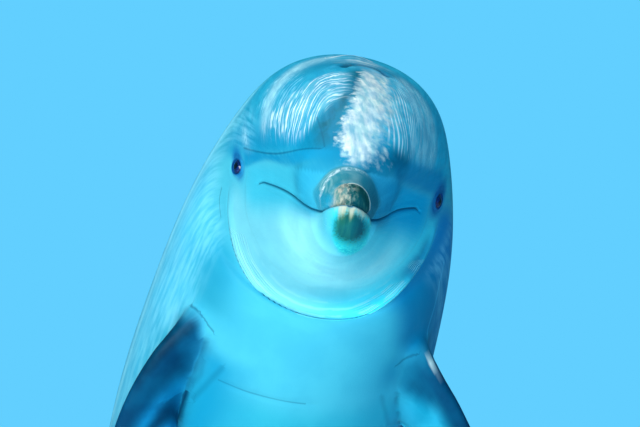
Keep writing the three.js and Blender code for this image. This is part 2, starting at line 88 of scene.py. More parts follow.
def fade(x, start, end):
    """0 before start, 1 after end, and 3t^2 - 2t^3 between, so that there is no kink."""
    t = np.clip((x - start) / (end - start), 0.0, 1.0)
    return t * t * (3.0 - 2.0 * t)


def bell(x, width):
    """A smooth bump round 0: e to the power of minus (x / width) squared."""
    return np.exp(-((x / width) ** 2))


def curve_through(places, values):
    """The natural cubic spline: the bending at each place solves one set of equations, and each stretch is a
    straight line plus a share of the bending at both of its ends."""
    x, y = np.array(places, float), np.array(values, float)
    h = np.diff(x)
    inner = np.diag(2 * (h[:-1] + h[1:])) + np.diag(h[1:-1], 1) + np.diag(h[1:-1], -1)
    bending = np.zeros(len(x))
    bending[1:-1] = np.linalg.solve(inner, 6 * np.diff(np.diff(y) / h))

    def value(place):
        q = np.clip(place, x[0], x[-1])
        i = np.clip(np.searchsorted(x, q) - 1, 0, len(h) - 1)
        a = (x[i + 1] - q) / h[i]
        b = 1.0 - a
        bend = (a**3 - a) * bending[i] + (b**3 - b) * bending[i + 1]
        return a * y[i] + b * y[i + 1] + bend * h[i] ** 2 / 6.0

    return value


print("a fade is", fade(0.25, 0.0, 1.0), "after a quarter of its way")

# %% [markdown]
# ## The straight body
#
# The trunk of a dolphin is a spindle, nearly round at the chest and deeper than wide at the tail stock. Three curves
# say how high the back, how low the belly and how wide the sides are. The forehead, called the melon, and the beak
# are two such bodies, and the larger of the two radii wins, with a soft step from one to the other: that step is the
# crease all round the beak.

# %% Profile of the trunk
STATIONS = [30, 100, 180, 265, 330, 420, 540, 700, 900, 1100, 1300, 1500, 1700, 1900, 2100, 2300, 2440, 2530, 2600]
BACK = [164, 164, 164, 167, 175, 190, 203, 214, 228, 230, 221, 200, 172, 140, 110, 83, 60, 34, 9]
BELLY = [72, 93, 112, 131, 149, 173, 196, 214, 228, 229, 217, 189, 152, 117, 91, 68, 48, 27, 7]
SIDE = [13, 42, 71, 106, 136, 171, 199, 219, 235, 238, 225, 193, 150, 106, 69, 42, 32, 26, 14]
BODY_END = 2566.0
back_at, belly_at, side_at = (curve_through(STATIONS, values) for values in (BACK, BELLY, SIDE))
middle_at = curve_through([0, 20, 50, 80, 114, 175, 268, 350, 480, 700, 1600, 2600],
                          [-38, -43, -48, -46.5, -40, -27, -15, -8, -3, 0, 0, 0])
print("girth at the chest", round(np.pi * (side_at(1000.0) + (back_at(1000.0) + belly_at(1000.0)) / 2)), "mm")


# %% Melon and beak
MELON_FRONT, MELON_LENGTH, BROW_HEIGHT = 82, 262, 16


def oval(angle, side, upright, power):
    """The radius of a rounded oblong at an angle from straight up: the two half axes, joined by a power mean of
    sine and cosine. A power of 2 gives an ellipse, and more gives squarer shoulders."""
    side_share = np.abs(np.sin(angle)) / side
    upright_share = np.abs(np.cos(angle)) / upright
    return (side_share**power + upright_share**power) ** (-1.0 / power)


def mass_radius(at, angle):
    """Skull, melon and throat, and the trunk behind them. The top rises by 1 - (1 - t)^2 to a power, which is steep
    at first and then level, and its shoulders swell by the square of sin(2 angle)."""
    middle = middle_at(at)
    hidden = 0.02 + 0.98 * fade(at, 20, 85)
    risen = np.clip((at - MELON_FRONT) / MELON_LENGTH, 0, 1)
    rise = (1 - (1 - risen) ** 2) ** 0.7
    side = side_at(at) * hidden
    below = oval(angle, side, (middle + belly_at(at)) * hidden, 2)
    top = BROW_HEIGHT * hidden + (back_at(at) - middle - BROW_HEIGHT) * rise
    shoulder = 0.27 * fade(at, MELON_FRONT, MELON_FRONT + 40) * (1 - fade(at, 160, 460))
    above = oval(angle, side, top, 2) * (1 + shoulder * np.sin(2 * angle) ** 2)
    return np.where(np.cos(angle) < 0, below, above)


print("the forehead rises from", MELON_FRONT, "to", MELON_FRONT + MELON_LENGTH, "mm behind the tip")


# %% Beak, and the step from beak to forehead
def beak_radius(at, angle):
    """A blunt tube: both half axes grow in a line behind a tip that rounds off like a bent ellipse. Above the mouth
    the sides grow faster, so the base of the beak is round."""
    blunt = (1 - (1 - np.clip(at / 34, 0, 1)) ** 2.3) ** (1 / 2.1)
    side = (22.5 + (0.07 + 0.13 * fade(np.cos(angle), 0, 0.5)) * at) * blunt
    upright = np.where(np.cos(angle) < 0, 24 + 0.22 * at, 28 + 0.3 * at) * blunt
    return oval(angle, np.maximum(side, 0.01), np.maximum(upright, 0.01), 2.2)


def ending_beak(at, angle):
    """The radius of the beak, which dies away inside the head."""
    return beak_radius(at, angle) * (1 - fade(at, 120, 290))


def body_radius(at, angle):
    """The larger of the two radii, as half of a + b + sqrt((a - b)^2 + s^2): s is the softness of the step, small on
    top, where the crease is sharp, and larger on the sides."""
    mass, beak = mass_radius(at, angle), ending_beak(at, angle)
    softness = (5 + 11 * fade(np.abs(angle), 40 * DEGREE, 95 * DEGREE)) * fade(at, 0, 40)
    joined = (mass + beak + np.sqrt((mass - beak) ** 2 + softness**2)) / 2
    return np.where(at > 300, mass, joined)


print("beak", (2 * beak_radius(80.0, np.pi / 2)).round(), "mm wide, head", (2 * side_at(330.0)).round(), "mm wide")

# %% [markdown]
# ## The bent spine
#
# The animal rears: its head is level, its neck bends, and its body slopes down behind, turned a little to one side
# and rolled a little. A sculptor bends a wire first and puts the clay round it. The wire here is the sum of short
# steps, each along the heading at its place, and the heading changes smoothly over the neck and the tail.

# %% Heading of the spine
SNOUT = np.array([155.0, -948.0, 1042.0])
SLOPE, TURN, ROLL = (-6.5, 43.0, -38.0), (3.0, 12.0, -19.0), (9.2, -2.6, -6.6)
NECK_BEND, TAIL_BEND = (318, 545, 110), (1080, 2560, 500)
SPINE_STEP = 4.0


def bend(x, start, end, ease):
    """0 before start and 1 after end: the slope grows over the length of ease, stays, and dies over ease."""
    steady = 1 / (end - start - ease)
    t = np.clip(x, start, end) - start
    entry, middle = np.minimum(t, ease), np.clip(t - ease, 0, end - start - 2 * ease)
    leaving = np.maximum(0, t - (end - start - ease))
    return steady * (entry**2 / (2 * ease) + middle + leaving - leaving**2 / (2 * ease))


def directions(at):
    """Unit vectors towards the tail, to the animal's left and out of its back. The heading's sine and cosine give
    the first, a level line across it the second, and both others are turned about the first by the roll."""
    neck, tail = bend(at, *NECK_BEND), bend(at, *TAIL_BEND)
    slope, turn, roll = ((a + b * neck + c * tail) * DEGREE for a, b, c in (SLOPE, TURN, ROLL))
    flat = np.cos(slope)
    tailward = np.stack([-np.sin(turn) * flat, np.cos(turn) * flat, -np.sin(slope)], -1)
    level = np.stack([np.cos(turn), np.sin(turn), 0 * turn], -1)
    upright = np.cross(level, tailward)
    c, s = np.cos(roll)[..., None], np.sin(roll)[..., None]
    return tailward, c * level - s * upright, c * upright + s * level


print("the neck bends by", SLOPE[1], "degrees and the tail by", SLOPE[2])

# %% Points carried by the spine
spine_marks = np.arange(0, 2900, SPINE_STEP)
steps = directions(spine_marks + SPINE_STEP / 2)[0] * SPINE_STEP
spine_places = np.vstack([SNOUT, SNOUT + np.cumsum(steps, 0)])


def spine_at(at):
    """The place on the spine: the nearest mark before it, and the rest along the heading half way there."""
    i = np.clip(np.floor(at / SPINE_STEP).astype(int), 0, len(spine_places) - 2)
    rest = at - i * SPINE_STEP
    return spine_places[i] + directions(i * SPINE_STEP + rest / 2)[0] * rest[..., None]


def on_spine(at, x, z):
    """A point of the straight body, carried: the spine's place, x to the left of it and z out of its back."""
    at, x, z = np.broadcast_arrays(at, x, z)
    _, left, dorsal = directions(at)
    return spine_at(at) + left * x[..., None] + dorsal * z[..., None]


print("the tail ends at", on_spine(BODY_END, 0.0, 0.0).round(), "mm")

# %% [markdown]
# ## Mouth, eyes, blowhole and creases
#
# On the real animal these are folds in one skin, so they are made as relief: a few millimetres added to the radius or
# taken from it, as a function of the place. Separate pieces would leave seams in the face. Each fold is the bell of a
# distance from a curve, narrow for a slit and wide for a swelling.

# %% Mouth line
MOUTH_CORNER = 264.0


def below_mouth(at, angle, radius):
    """How far round the section a point is below the line of the mouth, in mm. The line runs at the widest height,
    and hooks down by 5 mm behind the corner."""
    return (np.abs(angle) - np.pi / 2) * radius - 5 * fade(at, MOUTH_CORNER - 14, MOUTH_CORNER + 8)


def mouth_relief(at, angle, radius):
    """A slit 3.6 mm deep between two lips 1 mm proud, which die away at the corner."""
    off = below_mouth(at, angle, radius)
    slit = -3.6 * bell(off, 1.3) * (1 - fade(at, MOUTH_CORNER, MOUTH_CORNER + 12))
    lips = (bell(off - 5, 3.4) + bell(off + 5, 3.4)) * (1 - fade(at, 215, MOUTH_CORNER))
    return slit + lips


print("the mouth ends", MOUTH_CORNER, "mm behind the tip")


# %% Crease of the beak
def beak_edge(at, angle):
    """The radius of the mass less that of the beak: negative on the beak, 0 in the crease, positive behind it."""
    return mass_radius(at, angle) - ending_beak(at, angle)


def beak_relief(at, angle):
    """A groove 2 mm deep in the crease over the beak, and a rounded fold just behind it."""
    off = beak_edge(at, angle)
    over = 1 - fade(np.abs(angle), 80 * DEGREE, 100 * DEGREE)
    return over * fade(at, 30, 60) * (-2.0 * bell(off, 5) + 1.8 * bell(off - 16, 8)) * (1 - fade(at, 120, 160))


print("from beak to crease:", beak_edge(np.array([60.0, 80.0, 100.0]), 0.0).round(), "mm at 60, 80 and 100")


# %% Eye sockets and lids
EYE_AT, EYE_RADIUS, EYE_SUNK = 331.0, 14.5, 11.0
OPENING_HALF_LENGTH, OPENING_HALF_HEIGHT = 11, 8
EYE_ANGLE = np.arctan2(side_at(EYE_AT), 1.5 - middle_at(EYE_AT))


def eye_distance(at, angle, radius):
    """1 on the edge of the opening between the lids, an ellipse 22 mm long and 16 mm high, less inside it."""
    height = (np.abs(angle) - EYE_ANGLE) * radius
    return np.hypot((at - EYE_AT) / OPENING_HALF_LENGTH, height / OPENING_HALF_HEIGHT)


def eye_relief(at, angle, radius):
    """A socket 16 mm deep, a rolled lid 1.4 mm proud round it, and a shallow crease outside the lid."""
    rho = eye_distance(at, angle, radius)
    return -16 * (1 - fade(rho, 0.78, 1.02)) + 1.4 * bell(rho - 1.3, 0.24) - 0.7 * bell(rho - 1.85, 0.2)


print("eyes", round(EYE_ANGLE / DEGREE), "degrees from the back")


# %% Blowhole
BLOWHOLE_AT, BLOWHOLE_X, BLOWHOLE_LENGTH, BLOWHOLE_HALF_WIDTH = 244, 6, 13, 27


def blowhole_distance(at, x):
    """How far back a point is, and its distance from the middle of the crescent: both are shares of an ellipse."""
    along = (at - BLOWHOLE_AT) / BLOWHOLE_LENGTH
    return along, np.hypot(along, (x - BLOWHOLE_X) / BLOWHOLE_HALF_WIDTH)


def blowhole_relief(at, x, z):
    """A crescent slit 54 mm wide, 7 mm deep and open to the front, just left of the middle, with a lip before it and
    a raised edge behind it. The distance is measured from an ellipse. Further back, right of the middle, the skin
    bulges by 4 mm."""
    along, rho = blowhole_distance(at, x)
    behind = fade(along, -0.15, 0.45) * (z > 40)
    slit, lip, edge = bell(rho - 1, 0.12), bell(rho - 0.7, 0.25), bell(rho - 1.5, 0.3)
    bulge = 4.0 * bell(np.hypot((at - 296) / 20, (x + 10) / 20), 1.0) * (z > 40)
    return behind * (-7 * slit + 1.6 * lip + 2.0 * edge) + bulge


print("the blowhole's slit runs", BLOWHOLE_AT + BLOWHOLE_LENGTH, "mm behind the tip")


# %% Creases of throat and chest
THROAT_CREASE_AT, CHEST_CREASE_AT = 458, 649


def behind_throat(at, x):
    """Distance behind the crease between throat and chest, which sweeps forward to both cheeks by a power of x."""
    return at - THROAT_CREASE_AT + 98 * (np.abs(x) / 138) ** 2.2


def behind_chest(at, x):
    """Distance behind the short crease across the chest, a parabola that is open to the tail."""
    return at - CHEST_CREASE_AT - 8 * ((x - 15) / 120) ** 2


def fold_relief(at, angle, x):
    """The throat swells by 3 mm up to its crease, which is 3 mm deep. The one on the chest is half as deep, and ends
    35 mm left of the middle."""
    under = fade(np.abs(angle), 96 * DEGREE, 112 * DEGREE)
    throat, chest = behind_throat(at, x), behind_chest(at, x)
    low = fade(np.abs(angle), 138 * DEGREE, 152 * DEGREE) * (1 - fade(x, 5, 35))
    return under * (3.0 * bell(throat + 15, 13) - 3.2 * bell(throat, 2.6)) - 1.6 * low * bell(chest, 3.2)


print("creases under the body", THROAT_CREASE_AT, "and", CHEST_CREASE_AT, "mm behind the tip")


# %% [markdown]
# ## The skin of the body
#
# All of it together is one function of two parameters: the place along the body and the angle round it. The grid of
# places is close where the folds are narrow, 1.2 mm at the tip of the beak, and wide on the plain trunk. The columns
# crowd at the height of mouth and eyes, and along the middle of the head.

# %% Body grid
def spread(spacing, start, end):
    """Places from start to end whose steps follow a table of place and step: they are where the sum of 1 / step
    passes whole numbers."""
    fine = np.linspace(start, end, FINE_STEPS)
    density = 1 / np.interp(fine, *np.array(spacing, float).T)
    passed = np.concatenate([[0], np.cumsum((density[1:] + density[:-1]) / 2 * np.diff(fine))])
    return np.interp(np.linspace(0, passed[-1], int(round(passed[-1])) + 1), passed, fine)


RING_STEPS = [(0, 0.9), (20, 1.5), (130, 1.9), (200, 2.9), (232, 2.4), (242, 1.6), (262, 1.6), (272, 2.4), (306, 2.2),
              (316, 1.5), (350, 1.6), (372, 2.6), (436, 2.4), (450, 1.4), (464, 1.4), (476, 4), (560, 7), (640, 5),
              (740, 8), (800, 16), (1500, 19), (2350, 22), (2400, 9), (2566, 8)]
COLUMNS, FINE_STEPS = 192, 20001
ring_places = spread(RING_STEPS, 0.4, BODY_END)
round_angles = np.linspace(-np.pi, np.pi, FINE_STEPS)
crowd = (1 + 3 * bell(np.abs(round_angles) - 88 * DEGREE, 11 * DEGREE)
         + 3 * bell(round_angles - 3 * DEGREE, 9 * DEGREE))
total = np.concatenate([[0], np.cumsum((crowd[1:] + crowd[:-1]) / 2)])
column_angles = np.interp(np.arange(COLUMNS) / COLUMNS * total[-1], total, round_angles)
print(len(ring_places), "rings of", COLUMNS, "points")


# %% Body surface
UPPER_JAW_SHORTER = 9


def straight_body(at, angle):
    """at, x and z of the skin: middle height plus the radius with its relief. The upper jaw is shorter than the lower
    one, so its points are moved back near the tip."""
    radius = body_radius(at, angle)
    x, z = radius * np.sin(angle), middle_at(at) + radius * np.cos(angle)
    relief = (mouth_relief(at, angle, radius) + beak_relief(at, angle) + eye_relief(at, angle, radius)
              + blowhole_relief(at, x, z) + fold_relief(at, angle, x))
    radius = radius + relief * fade(at, 0, 12)
    upper = fade(np.cos(angle), -0.12, 0.12) * (1 - fade(at, 25, 120))
    back = UPPER_JAW_SHORTER * upper
    return np.stack([at + back, radius * np.sin(angle), middle_at(at) + radius * np.cos(angle)], -1)


body_places = straight_body(*np.broadcast_arrays(ring_places[:, None], column_angles[None, :]))
body_points = on_spine(*np.moveaxis(body_places, -1, 0))
print("body from", body_points.min((0, 1)).round(), "to", body_points.max((0, 1)).round(), "mm")

# %% [markdown]
# ## Fins
#
# Fins have no bones that show, only a smooth wing section: round in front, thin behind. A wing could be modelled by
# hand, but two curves for its edges, one for its thickness and the classic formula for a wing section give the whole
# surface. Near the skin the section flares, as skin does where it is pulled over a joint.

# %% Section and outline of a fin
def wing_section(along):
    """Half the thickness of a wing along its chord, as a share of the most: 1.4845 sqrt(t) - 0.63 t - 1.758 t^2
    + 1.4215 t^3 - 0.518 t^4, the four-digit wing formula."""
    t = along
    return 1.4845 * np.sqrt(t) - 0.63 * t - 1.758 * t**2 + 1.4215 * t**3 - 0.518 * t**4


DORSAL_FIN = dict(at=1105, span=262, sunk=38, rows=38, leading=([0, 0.3, 0.6, 0.85, 1], [0, 88, 205, 318, 400]),
                  trailing=([0, 0.18, 0.45, 0.75, 1], [395, 352, 326, 350, 408]),
                  thickness=([0, 0.25, 0.7, 1], [52, 34, 18, 5]), flare=(60, 46, 12, 0.8))
FLIPPER = dict(span=430, sunk=50, rows=54, leading=([0, 0.3, 0.6, 0.85, 1], [0, 6, 40, 100, 165]),
               trailing=([0, 0.2, 0.5, 0.8, 1], [125, 140, 160, 162, 173]),
               thickness=([0, 0.25, 0.7, 1], [50, 32, 17, 5]), flare=(60, 18, 16, 0.35))
FLUKE = dict(at=2408, span=322, sunk=0, rows=36, leading=([0, 0.2, 0.5, 0.8, 1], [0, 30, 88, 146, 192]),
             trailing=([0, 0.12, 0.4, 0.75, 1], [172, 199, 200, 190, 199]),
             thickness=([0, 0.25, 0.7, 1], [44, 27, 15, 5]), flare=(120, 90, 0, 0.5))
FIN_COLUMNS = 56
print("half a section at 0, 30 and 100 hundredths:", wing_section(np.array([0.0, 0.3, 1.0])).round(3))


# %% Outline of a fin
def fin_outline(shape):
    """Two parameters, the share of the span and the turn round the section, give the distances along chord and span
    and out of the fin's plane. The flare is the square of how near the root is."""
    share = 1 - (1 - np.linspace(0, 1, shape["rows"])[:, None]) ** 1.45
    turn = 2 * np.pi * np.arange(FIN_COLUMNS)[None, :] / FIN_COLUMNS
    along = (1 - np.cos(turn)) / 2
    reach, ahead, behind, swelling = shape["flare"]
    flare = (1 - np.clip((share * shape["span"] - shape["sunk"]) / reach, 0, 1)) ** 2
    leading = curve_through(*shape["leading"])(share) - ahead * flare
    trailing = curve_through(*shape["trailing"])(share) + behind * flare
    thick = curve_through(*shape["thickness"])(share) * (1 + swelling * flare)
    half = thick * wing_section(along) * (1 - fade(along, 0.9, 1)) + 0.9 * np.sqrt(along * (1 - along))
    share = share + 0 * along
    return share, along + 0 * share, leading + (trailing - leading) * along, np.sign(np.pi - turn) * half


print("the flipper reaches", FLIPPER["span"] - FLIPPER["sunk"], "mm out of the skin")


# %% Placing a fin
def unit(v):
    """v divided by its length."""
    return v / np.linalg.norm(v, axis=-1, keepdims=True)


def turned(v, axis, angle):
    """v turned about a unit axis: its cosine share, its sine share across the axis, and what lies along the axis."""
    return v * np.cos(angle) + np.cross(axis, v) * np.sin(angle) + axis * (axis @ v) * (1 - np.cos(angle))


def fin_points(shape, root, chord, span, droop=0.0, root_chord=None, inward=None):
    """Chord and span axes carry the outline from the root, which is sunk into the body along the span, or along an
    inward direction and then rises over the first 28 hundredths of the span. The chord may start along another axis
    and turn over the first 8 tenths. The tip droops with the square of the share."""
    share, along, across, half = fin_outline(shape)
    turn = fade(share, 0, 0.8)[..., None]
    chords = unit((chord if root_chord is None else root_chord) * (1 - turn) + chord * turn)
    face = unit(np.cross(chords, span))
    sink = -shape["sunk"] * span
    if inward is not None:
        sink = shape["sunk"] * inward * (1 - fade(share, 0, 0.28))[..., None]
    out = root + sink + (share * shape["span"])[..., None] * span
    return out + chords * across[..., None] + face * (half - droop * share**2)[..., None], share, along


east, _, up = np.eye(3)
print("east, turned by a quarter about up, is", turned(east, up, np.pi / 2).round())


# %% Dorsal fin, flippers and flukes
def axes(at):
    """The three directions at one place."""
    return tuple(v[0] for v in directions(np.array([float(at)])))


def dorsal_fin():
    """Its chord runs along the back from where it starts to where it ends, and it stands square on that."""
    start, length = DORSAL_FIN["at"], DORSAL_FIN["trailing"][1][0]
    front, rear = (on_spine(float(at), 0.0, back_at(float(at))) for at in (start, start + length))
    chord = unit(rear - front)
    left = axes(start + length / 2)[1]
    return fin_points(DORSAL_FIN, front, chord, unit(np.cross(left, chord)))


def flipper(side, at, round_by, outward, down, twist):
    """The root is low on the flank, round_by degrees from the back. The span points outward, down and for the rest
    backward, and the twist turns the rear edge towards the back. At the root the chord lies nearly along the body."""
    angle = side * round_by * DEGREE
    radius = body_radius(at, angle)
    root = on_spine(at, radius * np.sin(angle), middle_at(at) + radius * np.cos(angle))
    tailward, left, dorsal = axes(at)
    inward = -np.sin(angle) * left - np.cos(angle) * dorsal
    span = unit(side * outward * left - down * dorsal + np.sqrt(1 - outward**2 - down**2) * tailward)
    across = unit(tailward - span * (tailward @ span))
    chord = turned(across, span, side * twist * DEGREE)
    return fin_points(FLIPPER, root, chord, span, side * 16, unit(0.8 * tailward + 0.2 * across), inward)


def fluke(side):
    """Its chord runs along the spine and its span sideways, with a droop of 14 mm."""
    middle = FLUKE["at"] + 86.0
    chord = unit(on_spine(middle + 60, 0.0, 0.0) - on_spine(middle - 60, 0.0, 0.0))
    root = on_spine(float(FLUKE["at"]), 0.0, 0.0)
    return fin_points(FLUKE, root, chord, side * axes(middle)[1], side * 14)


fins = {"dorsal_fin": dorsal_fin(), "flipper_right": flipper(-1, 538.0, 126.6, 0.505, 0.31, -39),
        "flipper_left": flipper(1, 552.0, 135, 0.63, 0.46, 18),
        "fluke_right": fluke(-1), "fluke_left": fluke(1)}
for name, (points, _, _) in fins.items():
    print(name, "tip at", points[-1].mean(0).round(), "mm")

# %% [markdown]
# ## One skin
#
# Fins grow out of the body with no seam. They could be sewn to it point by point, but a Boolean union finds the line
# where the surfaces meet by itself, and it keeps what is stored on the points. Along that line the points are then
# moved to the middle of their neighbours a few times, which fills the sharp corner as skin and blubber do.

# %% Meshes from grids
def closed_mesh(name, rings, stored):
    """Joins neighbouring rings of points by quads, and closes each end with a fan round the middle of its ring. If
    the sum of the signed cones over the faces is negative, the faces point inwards and are turned round."""
    rows, columns = rings.shape[:2]
    points = np.vstack([rings.reshape(-1, 3), rings[0].mean(0), rings[-1].mean(0)])
    i, j = np.mgrid[0 : rows - 1, 0:columns]
    k = (j + 1) % columns
    quads = np.stack([i * columns + j, i * columns + k, (i + 1) * columns + k, (i + 1) * columns + j], -1)
    quads = quads.reshape(-1, 4)
    j, k = np.arange(columns), (np.arange(columns) + 1) % columns
    first = np.stack([k, j, np.full(columns, rows * columns)], -1)
    last = np.stack([j, k, np.full(columns, rows * columns)], -1) + (rows - 1) * columns
    last[:, 2] = rows * columns + 1
    a, b, c, d = (points[quads[:, n]] for n in range(4))
    cones = (np.einsum("ij,ij->i", a, np.cross(b, c)) + np.einsum("ij,ij->i", a, np.cross(c, d))).sum()
    faces = [quads, first, last] if cones > 0 else [quads[:, ::-1], first[:, ::-1], last[:, ::-1]]
    mesh = bpy.data.meshes.new(name)
    mesh.from_pydata(points * MM, [], [face for part in faces for face in part.tolist()])
    for label, values in stored.items():
        values = np.vstack([values.reshape(-1, 3), values[0].mean(0), values[-1].mean(0)])
        layer = mesh.attributes.new(label, "FLOAT_VECTOR", "POINT")
        layer.data.foreach_set("vector", values.astype(np.float32).ravel())
    piece = bpy.data.objects.new(name, mesh)
    scene.collection.objects.link(piece)
    return piece


print("the body's grid closes to", body_points[..., 0].size + 2, "points")


# %% From the bent body back to the straight one
def straightened(points):
    """at, x and z of points in space: at starts at the nearest mark on the spine, and moves by its distance from the
    plane square to the spine until it lies in that plane."""
    marks = spine_places[::10]
    nearest = ((points[:, None, :] - marks[None]) ** 2).sum(-1).argmin(1)
    at = nearest * 10 * SPINE_STEP
    for _ in range(24):
        tailward, left, dorsal = directions(at)
        off = points - spine_at(at)
        at = at + 0.6 * (off * tailward).sum(-1)
    return np.stack([at, (off * left).sum(-1), (off * dorsal).sum(-1)], -1)


print("700, 0, 100 carried by the spine and back:", straightened(on_spine(700.0, 0.0, 100.0)[None]).round(2)[0])


# %% Body and fins before they are joined
ones = np.ones(body_places.shape[:2])
skin = closed_mesh("skin", body_points, {"place": body_places, "fin": np.zeros_like(body_places),
                                         "made": np.stack([ones, 0 * ones, 0 * ones], -1)})
blanks = []
for name, (points, share, along) in fins.items():
    place = straightened(points.reshape(-1, 3)).reshape(points.shape)
    kind = {"dorsal": 1.0, "flipper": 2.0, "fluke": 3.0}[name.split("_")[0]] + 0 * share
    made = np.stack([1 + 0 * share, 0 * share, 0 * share], -1)
    blanks.append(closed_mesh(name + "_blank", points, {"place": place, "fin": np.stack([share, along, kind], -1),
                                                        "made": made}))
print(len(blanks), "fins to join")


# %% Union
def joined(base, others):
    """The evaluated mesh of base with a union for each of the others, which are then deleted."""
    for other in others:
        union = base.modifiers.new(other.name, "BOOLEAN")
        union.operation, union.solver, union.object = "UNION", "MANIFOLD", other
    mesh = bpy.data.meshes.new_from_object(base.evaluated_get(bpy.context.evaluated_depsgraph_get()))
    base.modifiers.clear()
    base.data = mesh
    for other in others:
        bpy.data.objects.remove(other)
    work = bmesh.new()
    work.from_mesh(mesh)
    bmesh.ops.triangulate(work, faces=[face for face in work.faces if len(face.verts) > 4])
    work.to_mesh(mesh)
    work.free()
    mesh.shade_smooth()
    return mesh


skin_mesh = joined(skin, blanks)
count = len(skin_mesh.vertices)
print("the skin has", count, "points")


# %% The joined skin, read back
def read_points(mesh, label=None):
    """The positions of a mesh's points, or what a stored vector holds, as rows of three."""
    values = np.empty(len(mesh.vertices) * 3, np.float32)
    if label is None:
        mesh.vertices.foreach_get("co", values)
    else:
        mesh.attributes[label].data.foreach_get("vector", values)
    return values.reshape(-1, 3).astype(float)


points, place, fin_place = read_points(skin_mesh) / MM, read_points(skin_mesh, "place"), read_points(skin_mesh, "fin")
seam = read_points(skin_mesh, "made")[:, 0] < 0.5
edges = np.empty(len(skin_mesh.edges) * 2, np.int32)
skin_mesh.edges.foreach_get("vertices", edges)
edges = edges.reshape(-1, 2)
print(seam.sum(), "points are new along the joins")


# %% Neighbours on the skin
def neighbour_mean(values, weights):
    """For each point the mean of what its neighbours hold, each counted by its weight."""
    size, columns = len(values), range(values.shape[1])
    total, share = np.zeros_like(values), np.zeros(size)
    for a, b in (edges.T, edges.T[::-1]):
        share += np.bincount(a, weights[b], size)
        total += np.stack([np.bincount(a, weights[b] * values[b, n], size) for n in columns], -1)
    return total / np.maximum(share, 1e-9)[:, None], share > 0


print("a point has", round(2 * len(edges) / count, 1), "neighbours")

# %% Places of the new points
known = ~seam
while not known.all():
    for values in (place, fin_place):
        mean, reached = neighbour_mean(values, known.astype(float))
        values[~known & reached] = mean[~known & reached]
    known = known | reached

print("all", known.sum(), "points know their place on the straight body")

# %% Fillets along the joins
FILLET_FULL, FILLET_END, FILLET_ROUNDS = 6, 26, 14
seam_points = points[seam]
nearest = np.full(count, 1e9)
for start in range(0, len(seam_points), 64):
    part = seam_points[start : start + 64]
    nearest = np.minimum(nearest, ((points[:, None, :] - part[None]) ** 2).sum(-1).min(1))
from_join = np.sqrt(nearest)
fillet = 1 - fade(from_join, FILLET_FULL, FILLET_END)
moving = np.flatnonzero(fillet > 0)
for _ in range(FILLET_ROUNDS):
    mean, _ = neighbour_mean(points, np.ones(count))
    points[moving] += 0.6 * fillet[moving, None] * (mean - points)[moving]
skin_mesh.vertices.foreach_set("co", (points * MM).astype(np.float32).ravel())
skin_mesh.update()
print("fillets move", len(moving), "points")

# %% [markdown]
# ## Eyes
#
# A museum eye is a polished acrylic ball with a painted iris, set behind the lids. It could be one dark sphere, but a
# cornea that bulges over the iris catches the light as a living eye does. The ball is a function of two angles, and
# the polar angle from the line of sight is stored for its paint.

# %% Directions on the skin
def skin_axes(at, angle):
    """Place, forward, up and outward directions on the skin, from the differences of neighbouring points."""
    def there(a, b):
        """A point of the skin, without its relief."""
        radius = body_radius(a, b)
        return on_spine(a, radius * np.sin(b), middle_at(a) + radius * np.cos(b))
    forward = unit(there(at - 6, angle) - there(at + 6, angle))
    outward = unit(np.cross(there(at, angle - 0.04) - there(at, angle + 0.04), forward))
    return there(at, angle), forward, np.cross(forward, outward), outward


print("the skin at the right eye faces", skin_axes(EYE_AT, -EYE_ANGLE)[3].round(2))


# %% Eyeballs
def eyeball(name, side):
    """A sphere of 14.5 mm round a point 11 mm under the skin. Its radius grows by 1.1 mm times a bell of the polar
    angle, for the cornea."""
    place, forward, up, outward = skin_axes(EYE_AT, side * EYE_ANGLE)
    polar = np.linspace(0.01, np.pi - 0.01, 40)[:, None]
    turn = 2 * np.pi * np.arange(56)[None, :] / 56
    radius = (EYE_RADIUS + 1.1 * bell(polar, 0.5))[..., None]
    aim = unit(outward + 0.16 * forward - 0.10 * up)
    across = unit(np.cross(up, aim))
    ahead, aside, above = np.cos(polar) + 0 * turn, np.sin(polar) * np.cos(turn), np.sin(polar) * np.sin(turn)
    ray = ahead[..., None] * aim + aside[..., None] * across + above[..., None] * np.cross(aim, across)
    centre = place - EYE_SUNK * outward
    gaze = np.stack([polar + 0 * turn, aside, above], -1)
    ball = closed_mesh(name, centre + radius * ray, {"gaze": gaze})
    ball.data.shade_smooth()
    return ball


eyeballs = [eyeball("eyeball_right", -1), eyeball("eyeball_left", 1)]
print("eyes", [len(ball.data.polygons) for ball in eyeballs], "faces")

# %% [markdown]
# ## Colours and nodes
#
# Paint makers name colours by codes. Here they are sRGB hex codes, and one function turns them into the linear light
# that Blender reckons with. A node tree is usually dragged together by hand. One short function that adds any node,
# with its settings and its links, keeps it readable as a list.

# %% Node helper and colours
def linear(code, alpha=1.0):
    """An sRGB hex code as linear light: ((c + 0.055) / 1.055)^2.4, or c / 12.92 for the darkest values."""
    c = np.array([int(code[i : i + 2], 16) for i in (1, 3, 5)]) / 255.0
    return (*np.where(c <= 0.04045, c / 12.92, ((c + 0.055) / 1.055) ** 2.4), alpha)


def add(tree, kind, inputs=(), **settings):
    """Adds a node. Settings are its own properties. Inputs fill its sockets, by name or in the order in which they
    show, each with a value or with a link, and a link from a node leaves its first output that shows."""
    made = tree.nodes.new("ShaderNode" + kind)
    for key, value in settings.items():
        setattr(made, key, value)
    shown = [socket for socket in made.inputs if socket.enabled]
    for key, value in inputs.items() if isinstance(inputs, dict) else enumerate(inputs):
        socket = made.inputs[key] if isinstance(key, str) else shown[key]
        if isinstance(value, bpy.types.Node):
            value = next(output for output in value.outputs if output.enabled)
        if isinstance(value, bpy.types.NodeSocket):
            tree.links.new(value, socket)
        else:
            socket.default_value = value
    return made


def new_material(name):
    """An empty node material and its tree."""
    material = bpy.data.materials.new(name)
    material.use_nodes = True
    material.node_tree.nodes.clear()
    return material, material.node_tree


